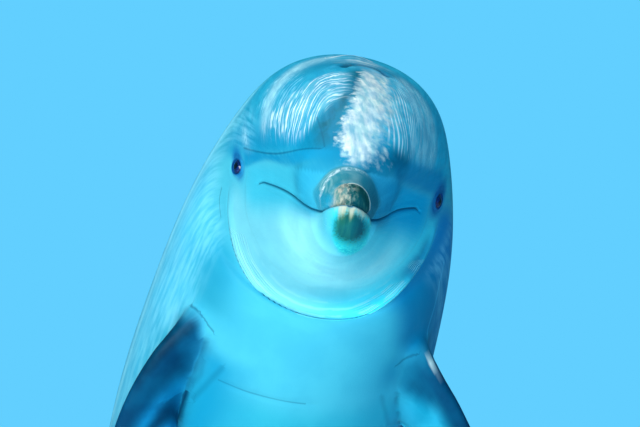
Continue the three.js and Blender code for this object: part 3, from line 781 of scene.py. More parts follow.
print("#808080 is", round(linear("#808080")[0], 3), "in linear light")


# %% [markdown]
# ## Where the paint goes
#
# An airbrush artist sprays the dark back, the pale throat and the stripe from eye to beak through soft masks. Each
# mask here is a formula of the place on the body, 0 where there is no paint and 1 where it covers. It is worked out
# for every point and stored with the mesh, and the material mixes its colours by it. A texture drawn by hand would
# do, but formulas stay sharp at any size, and follow the body.

# %% Places on the finished skin
at, x, z = place.T
angle = np.arctan2(x, z - middle_at(at))
turn = angle / DEGREE
under_turn = turn % 360
round_side = np.abs(turn)
radius = np.hypot(x, z - middle_at(at))
share, along, _ = fin_place.T
off_mouth = below_mouth(at, angle, radius)
on_left = fade(x, -50, 90)
print("turned from", turn.min().round(), "to", turn.max().round(), "degrees from the back")


def store(label, *values):
    """Stores a set of three numbers for every point of the skin."""
    layer = skin_mesh.attributes.get(label) or skin_mesh.attributes.new(label, "FLOAT_VECTOR", "POINT")
    data = np.stack([value + 0 * at for value in values], -1).astype(np.float32)
    layer.data.foreach_set("vector", data.ravel())
    print(label, "from", data.min(0).round(2), "to", data.max(0).round(2))


store("place", at, x, z)
store("flat", at, turn, on_left)


# %% Distance from a drawn line
def from_path(path, round_by=turn, ends=0.0):
    """Distance in mm from a line through pairs of at and degrees, negative on its right. For each stretch, the
    nearest place on it is found on the flat map of at and arc length. Past both ends, ends times the overshoot is
    added, so that the line stops there."""
    nearest, side = np.full(len(at), 1e9), np.ones(len(at))
    mm = radius * DEGREE
    last = len(path) - 2
    for number, ((a0, t0), (a1, t1)) in enumerate(zip(path, path[1:])):
        run, rise, off_a, off_t = a1 - a0, (t1 - t0) * mm, at - a0, (round_by - t0) * mm
        part = (off_a * run + off_t * rise) / (run**2 + rise**2)
        held = np.clip(part, 0, 1)
        distance = np.hypot(off_a - held * run, off_t - held * rise)
        over = np.maximum(-part if number == 0 else 0, part - 1 if number == last else 0)
        distance = distance + ends * np.maximum(over, 0) * np.hypot(run, rise)
        closer = distance < nearest
        side = np.where(closer, np.where(run * off_t - rise * off_a < 0, -1, 1), side)
        nearest = np.minimum(nearest, distance)
    return nearest * side


def only(distance, where):
    """A distance from a curve, pushed 400 mm further off on its own side where the curve isn't drawn."""
    return distance + 400 * np.where(distance < 0, -1, 1) * (1 - where)


def smoothed(values, times_over):
    """Each value moved to the mean of its neighbours, a few times over."""
    for _ in range(times_over):
        values = neighbour_mean(values[:, None], np.ones(count))[0][:, 0]
    return values


def between(value, start, end, soft):
    """1 between start and end and 0 outside, with fades of a soft width centred on both."""
    return fade(value, start - soft / 2, start + soft / 2) * (1 - fade(value, end - soft / 2, end + soft / 2))


print((np.abs(from_path([(400, 0), (1000, 0)])) < 5).sum(), "points lie within 5 mm of the middle of the back")


# %% [markdown]
# ## Masks for the fins
#
# A flipper is darkest along its front edge. The masks follow the share of its span and the place along its chord, so
# the dark band keeps its place on the wing. They could be cut along the seam, but paint is sprayed a little over it,
# so they fade across the seam by the distance from it.

# %% Fins
beyond_join = np.where(share > 0, from_join, -from_join)
on_dorsal = smoothed(fade(beyond_join, -14, 10) * (at > 1000) * (at < 2000), 3)
rounding = np.where(x < 0, 0.5 * (turn + 127.5) ** 2, -10)
on_flipper = smoothed(fade(beyond_join, -8, 10) * fade(at - rounding, 581, 592) * (at < 1000), 2)
round_root = fade(at - rounding, 581, 592) * (1 - fade(at, 606, 646)) * between(turn, -133, -121, 6)
on_flipper = np.maximum(on_flipper, round_root)
on_fluke = smoothed(fade(beyond_join, -60, 40) * (at > 2000), 3)
body_only = 1 - np.maximum(np.maximum(on_dorsal, on_flipper), on_fluke)
on_right = (x < 0).astype(float)
band_end = np.where(x < 0, np.interp(share, [0.06, 0.14, 0.24, 0.45, 0.8], [0.95, 0.78, 0.44, 0.28, 0.22]), 0.2)
band_soft = np.where(x < 0, 0.16, 0.13)
navy = 1 - fade(along, band_end - band_soft, band_end + band_soft)
navy = np.maximum(navy, 0.95 * (1 - fade(at, 630, 672)) * (1 - on_right)) * on_flipper
middle_share, middle_along = np.where(x < 0, 0.23, 0.175), np.where(x < 0, 0.46, 0.72)
paler = bell(np.hypot((share - middle_share) / np.where(x < 0, 0.08, 0.05),
                      (along - middle_along) / np.where(x < 0, 0.2, 0.16)), 1.0) * on_flipper
glint = (1 - fade(along, 0.002, 0.011)) * between(share, 0.142, 0.18, 0.02) * (x > 0) * on_flipper
store("fins", on_flipper, navy, np.maximum(on_fluke, on_dorsal))
store("fin_marks", paler, glint, (1 - fade(along, 0.02, 0.12)) * (1 - fade(share, 0.25, 0.5)) * on_flipper * on_right)

# %% [markdown]
# ## Masks for back, flanks and throat
#
# The back is dark and the throat is pale, as on every bottlenose: seen from above it blends with the deep, and from
# below with the light. The edges between them follow the angle round the body, and the throat ends at its crease.
# Light and shade are painted over that: the animal's left flank and the left of its chest and throat are darkened as
# painted shade, its right flank is lighter as painted light, the middle of the throat is brightened as a painted
# highlight, and a thin pale band where the right flank turns away is a painted highlight. Painted shade also darkens
# the skin by the roots of both flippers.

# %% Back, flanks and neck
behind_head = 60 * fade(at, 1500, 2300)
cape = (1 - fade(round_side, 38 + behind_head, 66 + behind_head)) * fade(at, 420, 560)
flank_end = 144 - 8 * fade(at, 540, 600)
# Painted shade: the animal's left flank is painted darker than its right, darkest low down.
shaded_left_flank = fade(turn, 82, 96) * (1 - fade(turn, flank_end - 8, flank_end + 9)) * between(at, 334, 1225, 90)
# Painted light: the animal's right flank, which faces the key lamp, is painted a lighter blue.
lit_right_flank = bell(turn + 92, 26) * fade(at, 380, 470) * (1 - fade(at, 1000, 1400))
neck_shade = bell(under_turn - 232, 15) * fade(at, 370, 420) * (1 - fade(at, 540, 590))
store("broad", cape * body_only, shaded_left_flank * body_only, 0.95 * neck_shade)
# Painted highlight: a thin pale band along the animal's right flank, where it turns away from the camera.
rim_highlight = from_path([(262, -46), (300, -38), (345, -43), (373, -54), (402, -62), (426, -69.5), (453, -74.5), (483, -78.5),
                 (519, -80), (592, -84), (635, -85), (715, -87.5), (853, -89), (1000, -90)])
# Painted shade: the low left side of the neck, and the skin at the root of the left flipper, are darkened.
left_low_shade = bell(turn - 133, 10) * fade(at, 400, 450) * (1 - fade(at, 560, 640))
left_flipper_root_shade = bell(np.hypot((at - 606) / 34, (turn - 142) / 8), 1.0)
# Painted shade on the body behind the root of the right flipper.
right_axilla_shade = bell(under_turn - 218, 12) * fade(at, 596, 640) * (1 - fade(at, 800, 880))
left_low_shade = np.maximum(0.7 * left_low_shade, 0.85 * left_flipper_root_shade) * body_only
store("edges", 0.95 * bell(rim_highlight, 10) * fade(at, 330, 380), left_low_shade, 0.9 * right_axilla_shade)
# Painted shade: the left side of the chest is darkened.
chest_left_shade = fade(x, 0, 170) * fade(round_side, 120, 150) * (1 - fade(at, 900, 1200))
store("sides", lit_right_flank * body_only, 0.6 * chest_left_shade * body_only, fade(at, 640, 700))

# %% Throat
high = fade(z, -110, -50)
throat = fade(round_side, 88, 108) * (1 - fade(behind_throat(at, x), -6 - 40 * high, 3 + 14 * high))
throat = throat * fade(at, 20, 90)
# Painted highlight: the middle of the pale throat is painted brighter still, as if lit from the front and below.
throat_highlight = bell(from_path([(150, 244), (150, 220), (180, 190), (240, 172), (240, 150)], under_turn), 62)
cheek = fade(at, 80, 130) * fade(z, -75, -30) * (1 - fade(z, -4, 14)) * (1 - fade(at, 270, 330))
store("throat", throat, throat_highlight * throat, cheek)
# Painted shade: the left side of the throat is darkened.
throat_left_shade = fade(turn, 100, 112) * (1 - fade(turn, 124, 142)) * fade(at, 300, 350) * throat

# %% [markdown]
# ## Masks for the forehead
#
# The forehead carries the play of light that ripples throw on an animal near the surface: fine bright arcs on its
# right, a pale cloud in the middle and streaks on its left. A painter follows a few guiding curves, and so do the
# masks: one number says on which arc a point lies, and another on which streak.

# %% Forehead: broad patches
forehead = fade(at, 84, 120) * (1 - fade(at, 330, 420)) * fade(z, 8, 34)
low_down = 1 - fade(at, 118, 180)
dark_strip = bell(x - curve_through([103, 116, 144, 169, 214, 250], [-24, -36, -34, -16, -7, -2])(at),
                  13 + 16 * low_down)
dark_strip = dark_strip * fade(at, 92, 106) * (1 - fade(at, 226, 252)) * (z > 0)
top_band = bell(at - 262, 22) * fade(at, 228, 250) * (1 - fade(round_side, 20, 44)) * (z > 20)
low_brow = forehead * (1 - fade(z, 36, 70)) * (1 - on_left)
store("forehead", forehead, 0.95 * dark_strip, 0.85 * top_band)
# Painted sheen: pale streaks of light on the crown, right of the middle, by the blowhole.
crown_sheen = bell(from_path([(258, -52), (278, -38), (288, -24), (296, -12)]), 15) * fade(-turn, 6, 14)
# Painted light: a pale haze on the left of the forehead, under its bright streaks.
streak_light_haze = bell(np.hypot((at - 226) / 42, (turn - 30) / 18), 1.0)
back_of_slit, slit_rho = blowhole_distance(at, x)
# Painted shade in the slit of the blowhole.
blowhole_slit = only(13 * (slit_rho - 1), (back_of_slit > 0.1) * (z > 40))
blowhole_lips = bell(np.hypot((at - 272) / 17, (x - 5) / 25), 1.0) * (z > 20)
store("crown", 0.9 * crown_sheen, 0.55 * streak_light_haze, blowhole_lips)

# %% Forehead: cloud, arcs and streaks
cloud_left = x - curve_through([99, 106, 118, 134, 160, 189, 236], [-4, -12, -18.5, -15.5, -9, -6, 1.5])(at)
cloud_right = curve_through([99, 103, 123, 152, 192, 232], [5, 18, 32, 40, 43, 38])(at) - x
cloud_ends = fade(at, 95, 104) * (1 - fade(at, 222, 256)) * (z > 0)
store("cloud", cloud_left, cloud_right, cloud_ends)
GUIDE_TURNS = [0, 22, 29.4, 41, 52, 75, 120]
guide_middle = curve_through(GUIDE_TURNS, [221, 213, 199, 176, 156, 112, 60])(-turn)
guide_width = curve_through(GUIDE_TURNS, [42, 38, 45, 57, 63, 72, 80])(-turn)
flow = (at - guide_middle) / guide_width
lowest = np.interp(-turn, [8, 20, 32, 43, 57, 80], [-1.55, -1.65, -1.0, -0.5, -0.1, 0.2])
highest = np.interp(-turn, [7, 19, 30, 43, 57, 80], [0.03, 0.17, 0.43, 0.93, 1.75, 2.2])
arcs = between(flow, lowest, highest, 0.3) * fade(-turn, 2, 7) * (1 - fade(-turn, 42, 72)) * fade(z, 28, 62)
arcs = arcs * (1 - 0.88 * dark_strip)
wisps = fade(-turn, 24, 32) * (1 - fade(-turn, 56, 66)) * between(flow, highest, 2.2, 0.4) * fade(z, 56, 84)
stream_width = np.exp(curve_through([120, 152, 184, 198, 227, 238, 262, 300],
                                    [1.70, 1.28, 0.74, 0.59, 0.20, 0.0, -0.36, -0.8])(at))
store("ripple", flow, turn, turn / stream_width)
dashes = fade(turn, 13, 22) * (1 - fade(turn, 62, 80)) * fade(at, 126, 146) * (1 - fade(at, 256, 285))
dashes = dashes * fade(z, 30, 54)
store("ripple_at", arcs, dashes, wisps)

# %% [markdown]
# ## Masks for face and beak
#
# A stripe runs from each eye to the beak, between two edges whose heights are curves along the head, and a dark
# patch leans over each eye. The beak is painted inside its crease, its tip and the ball of the lower jaw apart.

# %% Stripes and eye patches
stripe_top = curve_through([90, 114, 158, 254, 325], [32, 28.3, 22, 21, 27.5])(at)
stripe_foot = curve_through([100, 108, 125, 192, 255, 301], [19, 15, 8.6, 7.3, 11, 2.6])(at)
stripe_right = fade(z, stripe_foot - 4, stripe_foot + 4) * (1 - fade(z, stripe_top - 1.5, stripe_top + 1.5))
stripe_left = fade(z, 0, 14) * (1 - fade(z, 22 + 0.04 * at, 38 + 0.04 * at)) * (1 - fade(at, 318, 340)) * (x > 0)
under_cloud = bell(from_path([(104, 22), (114, 34), (150, 44)]), 15) * (z > 8)
lean = (at - 331) - np.where(x < 0, 0.6, 0.35) * (z - 6)
eye_patch = 1 - fade(np.hypot(lean / (21 + 9 * on_left), (z - 6) / (27 + 7 * on_left)), 0.5, 1.1)
lids = 1 - fade(eye_distance(at, angle, radius), 1.15, 1.9)
eye_patch = np.maximum(0.82 * eye_patch, lids) * (round_side > 50) * (round_side < 120)
store("marks", stripe_right * (1 - fade(at, 306, 328)) * (x < 0) * fade(at, 95, 118),
      0.9 * stripe_left * fade(at, 104, 125), eye_patch)
store("brow", low_brow, 0.9 * under_cloud, 0.95 * throat_left_shade)
over_eye = 0.7 * bell(np.hypot((at - 318 - 0.8 * (z - 42)) / 9, (z - 42) / 13), 1.0) * on_right * (round_side > 50)

# %% Beak
edge = beak_edge(at, angle)
near_beak = (1 - fade(at, 130, 180)) * fade(at, 40, 70) * (1 - fade(round_side, 92, 120))
upper = (1 - fade(off_mouth, -1.5, 0.5)) * (1 - fade(edge, -7 - 8 * on_left, 2)) * (1 - fade(at, 108, 125))
tip = upper * (1 - fade(at, 26, 31)) * fade(x, -25, -13)
store("beak", upper, tip, 0.75 * bell(edge - 10, 16) * near_beak)
# Painted highlights: a pale arc along the crease of the beak, and one along the edge of its tip.
outer_highlight_arc = from_path([(66, -60), (72, -48), (80, -35), (86, -21), (89, -5), (91, 15), (95, 32), (92, 50)])
inner_highlight_arc = from_path([(28, -8), (30, 4), (31, 40), (29, 74)], ends=2)
store("arcs", outer_highlight_arc, inner_highlight_arc, fade(-turn, -34, 8))
store("beak_map", edge, turn, over_eye)

# %% Lower jaw
ball_edge = curve_through([80, 98, 142, 180, 192, 227, 265], [52, 64, 90, 76, 58, 24, 16])(under_turn)
lower = fade(off_mouth, -0.5, 1.5) * (1 - fade(at - ball_edge, -20, 9)) * (at < 130)
store("jaw", lower, -38 - z, smoothed(ball_edge - at, 2))
store("jaw_spots", 1 - np.hypot((x - 4) / 27, (z + 62) / 24), fade(x, 2, 20), 0.7 * fade(-x, 8, 24))

# %% [markdown]
# ## Fine lines
#
# Creases are drawn last, with a liner brush, over the folds in the relief: their dark ink is painted shade in the
# folds. Each is a curve on the body, and what is stored is the distance from it, so that the width of the stroke is
# set by the material and not by the mesh.

# %% Liner strokes
under = fade(round_side, 92, 104)
store("folds", only(behind_throat(at, x), under * (1 - fade(z, -86, -52))),
      only(behind_chest(at, x), fade(round_side, 136, 144) * (1 - fade(x, 0, 26))),
      only(off_mouth, 1 - fade(at, 266, 274)))
ahead_of_eye = fade(at, 104, 112) * (1 - fade(at, 318, 330)) * (z < 60) * (round_side < 100)
upright_line = fade(at, 108, 112) * (1 - fade(at, 152, 164)) * (x < -20) * (z > 20)
flank_line = from_path([(449, 110), (485, 118), (524, 122), (563, 126), (596, 131)], ends=3)
store("lines", only(z - stripe_top, ahead_of_eye * (x < 0)), only(x + 35 + 0.36 * (at - 111), upright_line),
      flank_line)

# %% Folds at the flippers
shoulder_right = from_path([(574, -122), (571, -127.5), (575, -132.5), (588, -137)], ends=4)
shoulder_left = from_path([(573, 136.5), (582, 140), (597, 144.5)], ends=4)
inner_fold_right = from_path([(630, -145), (676, -141), (724, -137)], ends=3)
inner_fold_left = from_path([(650, 141), (685, 137.4), (741, 133)], ends=3)
armpit_right = from_path([(715, -133.5), (744, -134), (786, -134.5)], ends=3)
neck_slit = from_path([(372, -97), (381, -103), (384, -112)], ends=4)
soft_right = from_path([(640, -136), (671, -137), (699, -134.8)], ends=3)
soft_left = from_path([(650, 148), (688, 144), (731, 139.5)], ends=3)
# Painted highlight: a thin bright line along the rear edge of the blowhole's lips.
lip_highlight_line = from_path([(296, -14), (301, -8), (300, 0), (294, 5)], ends=3)
drawn = [shoulder_right, shoulder_left, inner_fold_right, inner_fold_left, armpit_right, neck_slit, soft_right,
         soft_left, lip_highlight_line, flank_line]
near_a_line = np.max([1 - fade(np.abs(distance), 9, 18) for distance in drawn], 0)
store("shoulders", np.where(x < 0, -shoulder_right, shoulder_left),
      np.where(x < 0, -inner_fold_right, inner_fold_left), np.where(x < 0, np.abs(armpit_right), 400))
store("creases", blowhole_slit, neck_slit, np.where(x < 0, -soft_right, soft_left))

# %% Brushed streaks behind the eyes
forward = np.where(x < 0, 110, 0)
strokes = fade(at, 372 - forward, 430 - forward) * fade(round_side, 66 - forward / 7, 80 - forward / 7) * body_only
strokes = strokes * (1 - fade(round_side, 112, 128)) * (1 - fade(at, 520, 900) * (1 - on_right))
strokes = strokes * (1 - fade(round_side, 64, 80) * (1 - fade(at, 356, 420))) * (1 - eye_patch)
store("strokes", strokes, lip_highlight_line, near_a_line)

# %% [markdown]
# ## Silicone skin
#
# The skin is moulded silicone, satin rather than glossy, with a refractive index of 1.41. Its colour is airbrushed in
# thin coats, large to small: a base for chest and flanks, the dark back, the pale throat, the forehead, the stripe
# from eye to beak, then the beak. A node tree can be drawn by hand, but here each coat is one line that names its
# colour and its mask, in the order in which the artist sprays them.

# %% Coats and strokes
# A SUM is its first value times the second, plus the third.
PRODUCT, SUM = {"operation": "MULTIPLY"}, {"operation": "MULTIPLY_ADD"}
SIZE, SMOOTH = {"operation": "ABSOLUTE"}, {"interpolation_type": "SMOOTHSTEP"}


def stored(tree, label):
    """A vector that is stored with the points, whole and as its three numbers."""
    vector = add(tree, "Attribute", attribute_name=label).outputs["Vector"]
    return (vector, *add(tree, "SeparateXYZ", [vector]).outputs)


def coat(tree, under, paint, *masks):
    """A coat of paint: the masks, multiplied, say how much of it covers what is under it."""
    cover = masks[0]
    for mask in masks[1:]:
        cover = add(tree, "Math", [cover, mask], **PRODUCT)
    return add(tree, "Mix", [cover, under, linear(paint) if isinstance(paint, str) else paint], data_type="RGBA")


def coats(tree, under, layers):
    """Coats on top of each other: each layer is a paint and its masks."""
    for paint, *masks in layers:
        under = coat(tree, under, paint, *masks)
    return under


def stroke(tree, distance, width, strength):
    """A stroke of a liner brush: full strength where a stored distance is 0, and nothing beyond the width in mm."""
    return add(tree, "MapRange", [add(tree, "Math", [distance], **SIZE), 0.0, width, strength, 0.0], **SMOOTH)


print("a stroke fades by", SMOOTH["interpolation_type"].lower())


# %% Spatter, and the stored masks
def spatter(tree, vector, sizes, low, high, faint=0.0, full=1.0, detail=2.0, seed=0.0):
    """Soft patches of spray. Noise with one patch to each of three sizes along the vector is cut off below low and
    above high, with a smooth step from faint to full between them."""
    scaled = add(tree, "Mapping", [vector, (seed, seed, seed), (0, 0, 0), tuple(1 / size for size in sizes)])
    patches = add(tree, "TexNoise", {"Vector": scaled, "Scale": 1.0, "Detail": detail})
    return add(tree, "MapRange", [patches, low, high, faint, full], **SMOOTH)


silicone, tree = new_material("airbrushed_silicone_skin")
place_in, _, x_mm, z_mm = stored(tree, "place")
flat_in, _, turn_in, left_in = stored(tree, "flat")
_, flipper_in, navy_in, tail_in = stored(tree, "fins")
_, cape_in, left_flank_shade_in, neck_in = stored(tree, "broad")
_, rim_highlight_in, left_low_shade_in, right_axilla_shade_in = stored(tree, "edges")
_, lit_right_flank_in, chest_left_shade_in, far_in = stored(tree, "sides")
_, throat_in, throat_highlight_in, cheek_in = stored(tree, "throat")
_, forehead_in, strip_in, band_in = stored(tree, "forehead")
_, low_brow_in, under_cloud_in, throat_left_shade_in = stored(tree, "brow")
_, right_stripe, left_stripe, eye_in = stored(tree, "marks")
_, crown_sheen_in, streak_light_haze_in, lips_in = stored(tree, "crown")
_, upper_in, tip_in, shade_in = stored(tree, "beak")
beak_flat, _, _, over_eye_in = stored(tree, "beak_map")
print(len(tree.nodes), "nodes read the masks")

# %% Chest, flanks and throat
# The painted shade of the left flank: a darker blue, and darker still on its lower part.
lower_flank = add(tree, "MapRange", [turn_in, 100.0, 126.0], **SMOOTH)
left_flank_shade_paint = coat(tree, linear("#0a86c4"), "#0377a6", lower_flank)
throat_base = coat(tree, linear("#74ccd8"), "#3fe0f2", left_in)
glow_spots = spatter(tree, place_in, (30, 30, 30), 0.3, 0.55, 0.75, 1.0, detail=4.0)
colour = coat(tree, linear("#4ab8cc"), "#34afc3", far_in)
colour = coat(tree, colour, "#0f9dbd", chest_left_shade_in)
cheek_paint = coat(tree, linear("#3db7cf"), "#02aedb", left_in)
colour = coats(tree, colour, [("#157a9c", cape_in), ("#4cc1e2", lit_right_flank_in), ("#2496b0", neck_in),
                              (left_flank_shade_paint, left_flank_shade_in), ("#04789f", left_low_shade_in), ("#0d90b4", right_axilla_shade_in),
                              (throat_base, throat_in), ("#9ceff5", throat_highlight_in, glow_spots), (cheek_paint, cheek_in)])
print(len(tree.nodes), "nodes with chest, flanks and throat")

# %% Forehead
brushed = spatter(tree, flat_in, (70, 6, 9), 0.3, 0.6, 0.8, 1.0, detail=4.0, seed=8.0)
brow = coat(tree, linear("#25a4c3"), "#27c4e2", left_in)
shade = coat(tree, linear("#1d92b4"), "#056f98", left_in)
for paint, mask in [(brow, forehead_in), ("#0f90b6", low_brow_in), ("#037ba6", throat_left_shade_in),
                    ("#7fe0ee", streak_light_haze_in), ("#03596a", strip_in), ("#0d86a2", band_in), ("#a5dbe4", crown_sheen_in),
                    ("#0a8cb6", right_stripe), ("#048bbb", left_stripe), (shade, shade_in),
                    ("#07647f", under_cloud_in)]:
    colour = coat(tree, colour, paint, mask, brushed)
print(len(tree.nodes), "nodes with the forehead")

# %% [markdown]
# ## Ripples of light
#
# The arcs are the crests of a sine over the number that says on which arc a point lies. Noise bends them and breaks
# them up, because a row of even lines would look combed. The streaks on the other side are made in the same way.

# %% Arcs on the forehead
ripple_in, flow_in, _, stream_in = stored(tree, "ripple")
_, arcs_in, dashes_in, wisps_in = stored(tree, "ripple_at")


def crests(tree, number, per_unit, bending, low, high):
    """Thin lines where a sine over the number, per_unit to each unit and bent by a noise, rises above low."""
    phase = add(tree, "Math", [number, per_unit, bending], **SUM)
    wave = add(tree, "Math", [add(tree, "Math", [phase, 2 * np.pi], **PRODUCT)], operation="SINE")
    return add(tree, "MapRange", [wave, low, high], **SMOOTH)


bent = spatter(tree, ripple_in, (0.45, 14, 8), 0.0, 1.0, 0.0, 2.2, seed=3.0)
broken = spatter(tree, ripple_in, (0.16, 15, 9), 0.36, 0.54, seed=7.0)
arc_haze = add(tree, "MapRange", [turn_in, -60.0, -8.0, 0.2, 0.62], **SMOOTH)
arc_patches = spatter(tree, ripple_in, (0.35, 22, 12), 0.34, 0.6, seed=1.0)
colour = coat(tree, colour, "#7fc4cf", arcs_in, arc_patches, arc_haze)
for number, per_unit, low, masks, paint in [(flow_in, 5.2, 0.0, (1.0, arcs_in, broken), "#eefbfb"),
                                            (flow_in, 11.0, 0.35, (0.6, arcs_in, broken), "#c2ecf4"),
                                            (flow_in, 7.0, 0.1, (0.55, wisps_in, broken), "#a6e2f1")]:
    colour = coat(tree, colour, paint, crests(tree, number, per_unit, bent, low, 0.95), *masks)
print(len(tree.nodes), "nodes with the arcs")

# %% Streaks on the forehead
streak_bent = spatter(tree, flat_in, (60, 30, 9), 0.0, 1.0, 0.0, 1.1)
streak_broken = spatter(tree, ripple_in, (0.8, 20, 1.3), 0.38, 0.5, seed=2.0)
streak_haze = spatter(tree, ripple_in, (1.4, 30, 2.4), 0.32, 0.6, 0.25, 0.85, seed=5.0)
colour = coat(tree, colour, "#74d6e4", dashes_in, streak_haze)
streak_crests = crests(tree, stream_in, 0.72, streak_bent, 0.1, 0.9)
colour = coat(tree, colour, "#f2fffe", streak_crests, dashes_in, streak_broken)
print(len(tree.nodes), "nodes with the streaks")

# %% Pale cloud on the forehead
# The pale cloud is a painted highlight: a bright patch of light in the middle of the forehead.
_, left_edge, right_edge, cloud_ends_in = stored(tree, "cloud")
ragged = spatter(tree, place_in, (5, 9, 9), 0.0, 1.0, seed=1.0, detail=4.0)
inner = add(tree, "MapRange", [add(tree, "Math", [ragged, 24.0, left_edge], **SUM), 6.0, 18.0], **SMOOTH)
outer = add(tree, "MapRange", [add(tree, "Math", [ragged, 34.0, right_edge], **SUM), 4.0, 36.0], **SMOOTH)
feathers = add(tree, "Mapping", {"Vector": place_in, "Rotation": (0.0, 0.0, 0.5)})
holes = spatter(tree, feathers, (20, 9, 60), 0.34, 0.56, 0.62, 1.0, detail=5.0, seed=4.6)
fluffy = spatter(tree, feathers, (18, 9, 60), 0.36, 0.62, detail=5.0, seed=2.4)
fluff = coat(tree, linear("#bcd9d3"), "#fffbec", fluffy)
colour = coat(tree, colour, fluff, cloud_ends_in, inner, outer, holes)
print(len(tree.nodes), "nodes with the cloud")

# %% Crown, rim and eye patches
lips_paint = coat(tree, linear("#69b0bd"), "#cfe2e2", spatter(tree, flat_in, (5, 30, 9), 0.38, 0.6, detail=3.0))
_, slit_in, neck_slit, fold_line = stored(tree, "creases")
_, strokes_in, lip_highlight_line, drawn_in = stored(tree, "strokes")
over_eye_spots = spatter(tree, flat_in, (5, 3, 9), 0.35, 0.6, 0.4)
lid_rim = add(tree, "MapRange", [eye_in, 0.7, 1.0, 0.0, 0.85], **SMOOTH)
# Over the crown: the blowhole's lips, painted shade in its slit, a painted highlight along the lips, the painted rim
# highlight, a pale patch over the right eye, and the dark eye patches.
colour = coats(tree, colour, [(lips_paint, lips_in), ("#0b4a60", stroke(tree, slit_in, 8.5, 0.95)),
                              ("#e8f8f8", stroke(tree, lip_highlight_line, 5.0, 0.95), drawn_in), ("#86e2f8", rim_highlight_in),
                              ("#b9e6f0", over_eye_in, over_eye_spots), ("#0864a6", eye_in), ("#052063", lid_rim)])
print(len(tree.nodes), "nodes with crown and eye patches")

# %% [markdown]
# ## Beak and jaw
#
# The beak shows its age: its tip is worn to beige and olive, its dome is mottled with pale scuffs, and the ball of the
# lower jaw is speckled teal. Two pale arcs over it are painted highlights, one along its crease and one along the edge
# of its tip, and the dome is painted lighter on the animal's right and darker on its left, as painted light and shade.
# Sponge and stipple brush give such spots. Here they are noise whose patches are a few millimetres wide, and
# stretched where a real scuff is.

# %% Beak
_, outer_highlight_arc_in, inner_highlight_arc_in, towards_right = stored(tree, "arcs")
fine = spatter(tree, place_in, (7, 4, 7), 0.4, 0.6, 0.15, detail=3.0)
scuffs = spatter(tree, beak_flat, (5, 40, 9), 0.4, 0.68, detail=3.0, seed=2.0)
# The dome's pale scuffs show most on the animal's right, as painted light; its left is darkened as painted shade.
lit_side_share = add(tree, "MapRange", [turn_in, 26.0, -14.0, 0.25, 1.0], **SMOOTH)
dome = coat(tree, linear("#2b8b98"), "#8dbcbb", scuffs, lit_side_share)
dome = coat(tree, dome, "#1d93b2", add(tree, "MapRange", [turn_in, -44.0, -66.0, 0.0, 0.8], **SMOOTH))
dome = coat(tree, dome, "#217386", add(tree, "MapRange", [turn_in, -2.0, 46.0, 0.0, 0.9], **SMOOTH))
colour = coat(tree, colour, dome, upper_in)
beige_side = add(tree, "MapRange", [add(tree, "Math", [fine, 14.0, x_mm], **SUM), 14.0, -4.0], **SMOOTH)
beige = coat(tree, linear("#5f8274"), "#b3a98f", spatter(tree, place_in, (7, 3.5, 9), 0.36, 0.62, detail=3.0))
olive_tip = coat(tree, linear("#0b4038"), "#2f5f4a", spatter(tree, place_in, (12, 3, 12), 0.45, 0.7, detail=3.0))
colour = coat(tree, colour, coat(tree, olive_tip, beige, beige_side), tip_in)
# Painted highlight along the crease of the beak, on the animal's right.
colour = coat(tree, colour, "#dceeee", stroke(tree, outer_highlight_arc_in, 6.0, 0.9), fine, towards_right)
# Painted highlight along the edge of the tip, broken into patches.
patchy = spatter(tree, place_in, (9, 9, 9), 0.3, 0.5, 0.3)
colour = coat(tree, colour, "#f1e9d4", stroke(tree, inner_highlight_arc_in, 2.3, 0.9), patchy)
print(len(tree.nodes), "nodes with the beak")

# %% Lower jaw
_, jaw_in, drop_in, inside_ball = stored(tree, "jaw")
_, olive_in, dark_side, teal_side = stored(tree, "jaw_spots")
speckle = spatter(tree, place_in, (2.6, 2.6, 2.6), 0.4, 0.64, detail=3.0)
streaks = spatter(tree, place_in, (30, 4.5, 40), 0.3, 0.7, detail=3.0)
teal = coat(tree, linear("#10bcc8"), "#46e0d9", speckle)
olive = coat(tree, coat(tree, linear("#064a40"), "#1d5f47", streaks), "#04383a", dark_side)
olive_cover = add(tree, "MapRange", [add(tree, "Math", [speckle, 0.14, olive_in], **SUM), 0.05, 0.55], **SMOOTH)
jaw = coat(tree, coat(tree, teal, olive, olive_cover), "#14c0cd", teal_side)
jaw = coat(tree, jaw, "#12bccb", add(tree, "MapRange", [inside_ball, 12.0, 1.0, 0.0, 0.6], **SMOOTH))
edge_drop = add(tree, "Math", [streaks, -9.0, drop_in], **SUM)
jaw = coat(tree, jaw, "#8d9470", add(tree, "MapRange", [edge_drop, 13.0, -4.0, 0.0, 0.8], **SMOOTH))
jaw = coat(tree, jaw, "#b9b399", add(tree, "MapRange", [edge_drop, 8.0, -5.0], **SMOOTH))
sponged = add(tree, "MapRange", [add(tree, "Math", [speckle, 0.5, jaw_in], **SUM), 0.35, 1.0], **SMOOTH)
colour = coat(tree, colour, jaw, jaw_in, sponged)
print(len(tree.nodes), "nodes with the lower jaw")

# %% [markdown]
# ## Flippers, creases and gloss
#
# The flippers are sprayed almost navy in front, over a middle blue, with a painted glint on the front edge of the
# left one. A thin cloudy veil over the whole skin breaks up its even fields, and the creases are inked in after that
# as painted shade, the fine folds of the throat with painted highlights beside them. A last coat of clear matting
# lacquer takes most of the sheen away. The skin's own pores are too small to show, so the bump only gives the slight
# waviness of cast silicone, a few hundredths of a millimetre high.

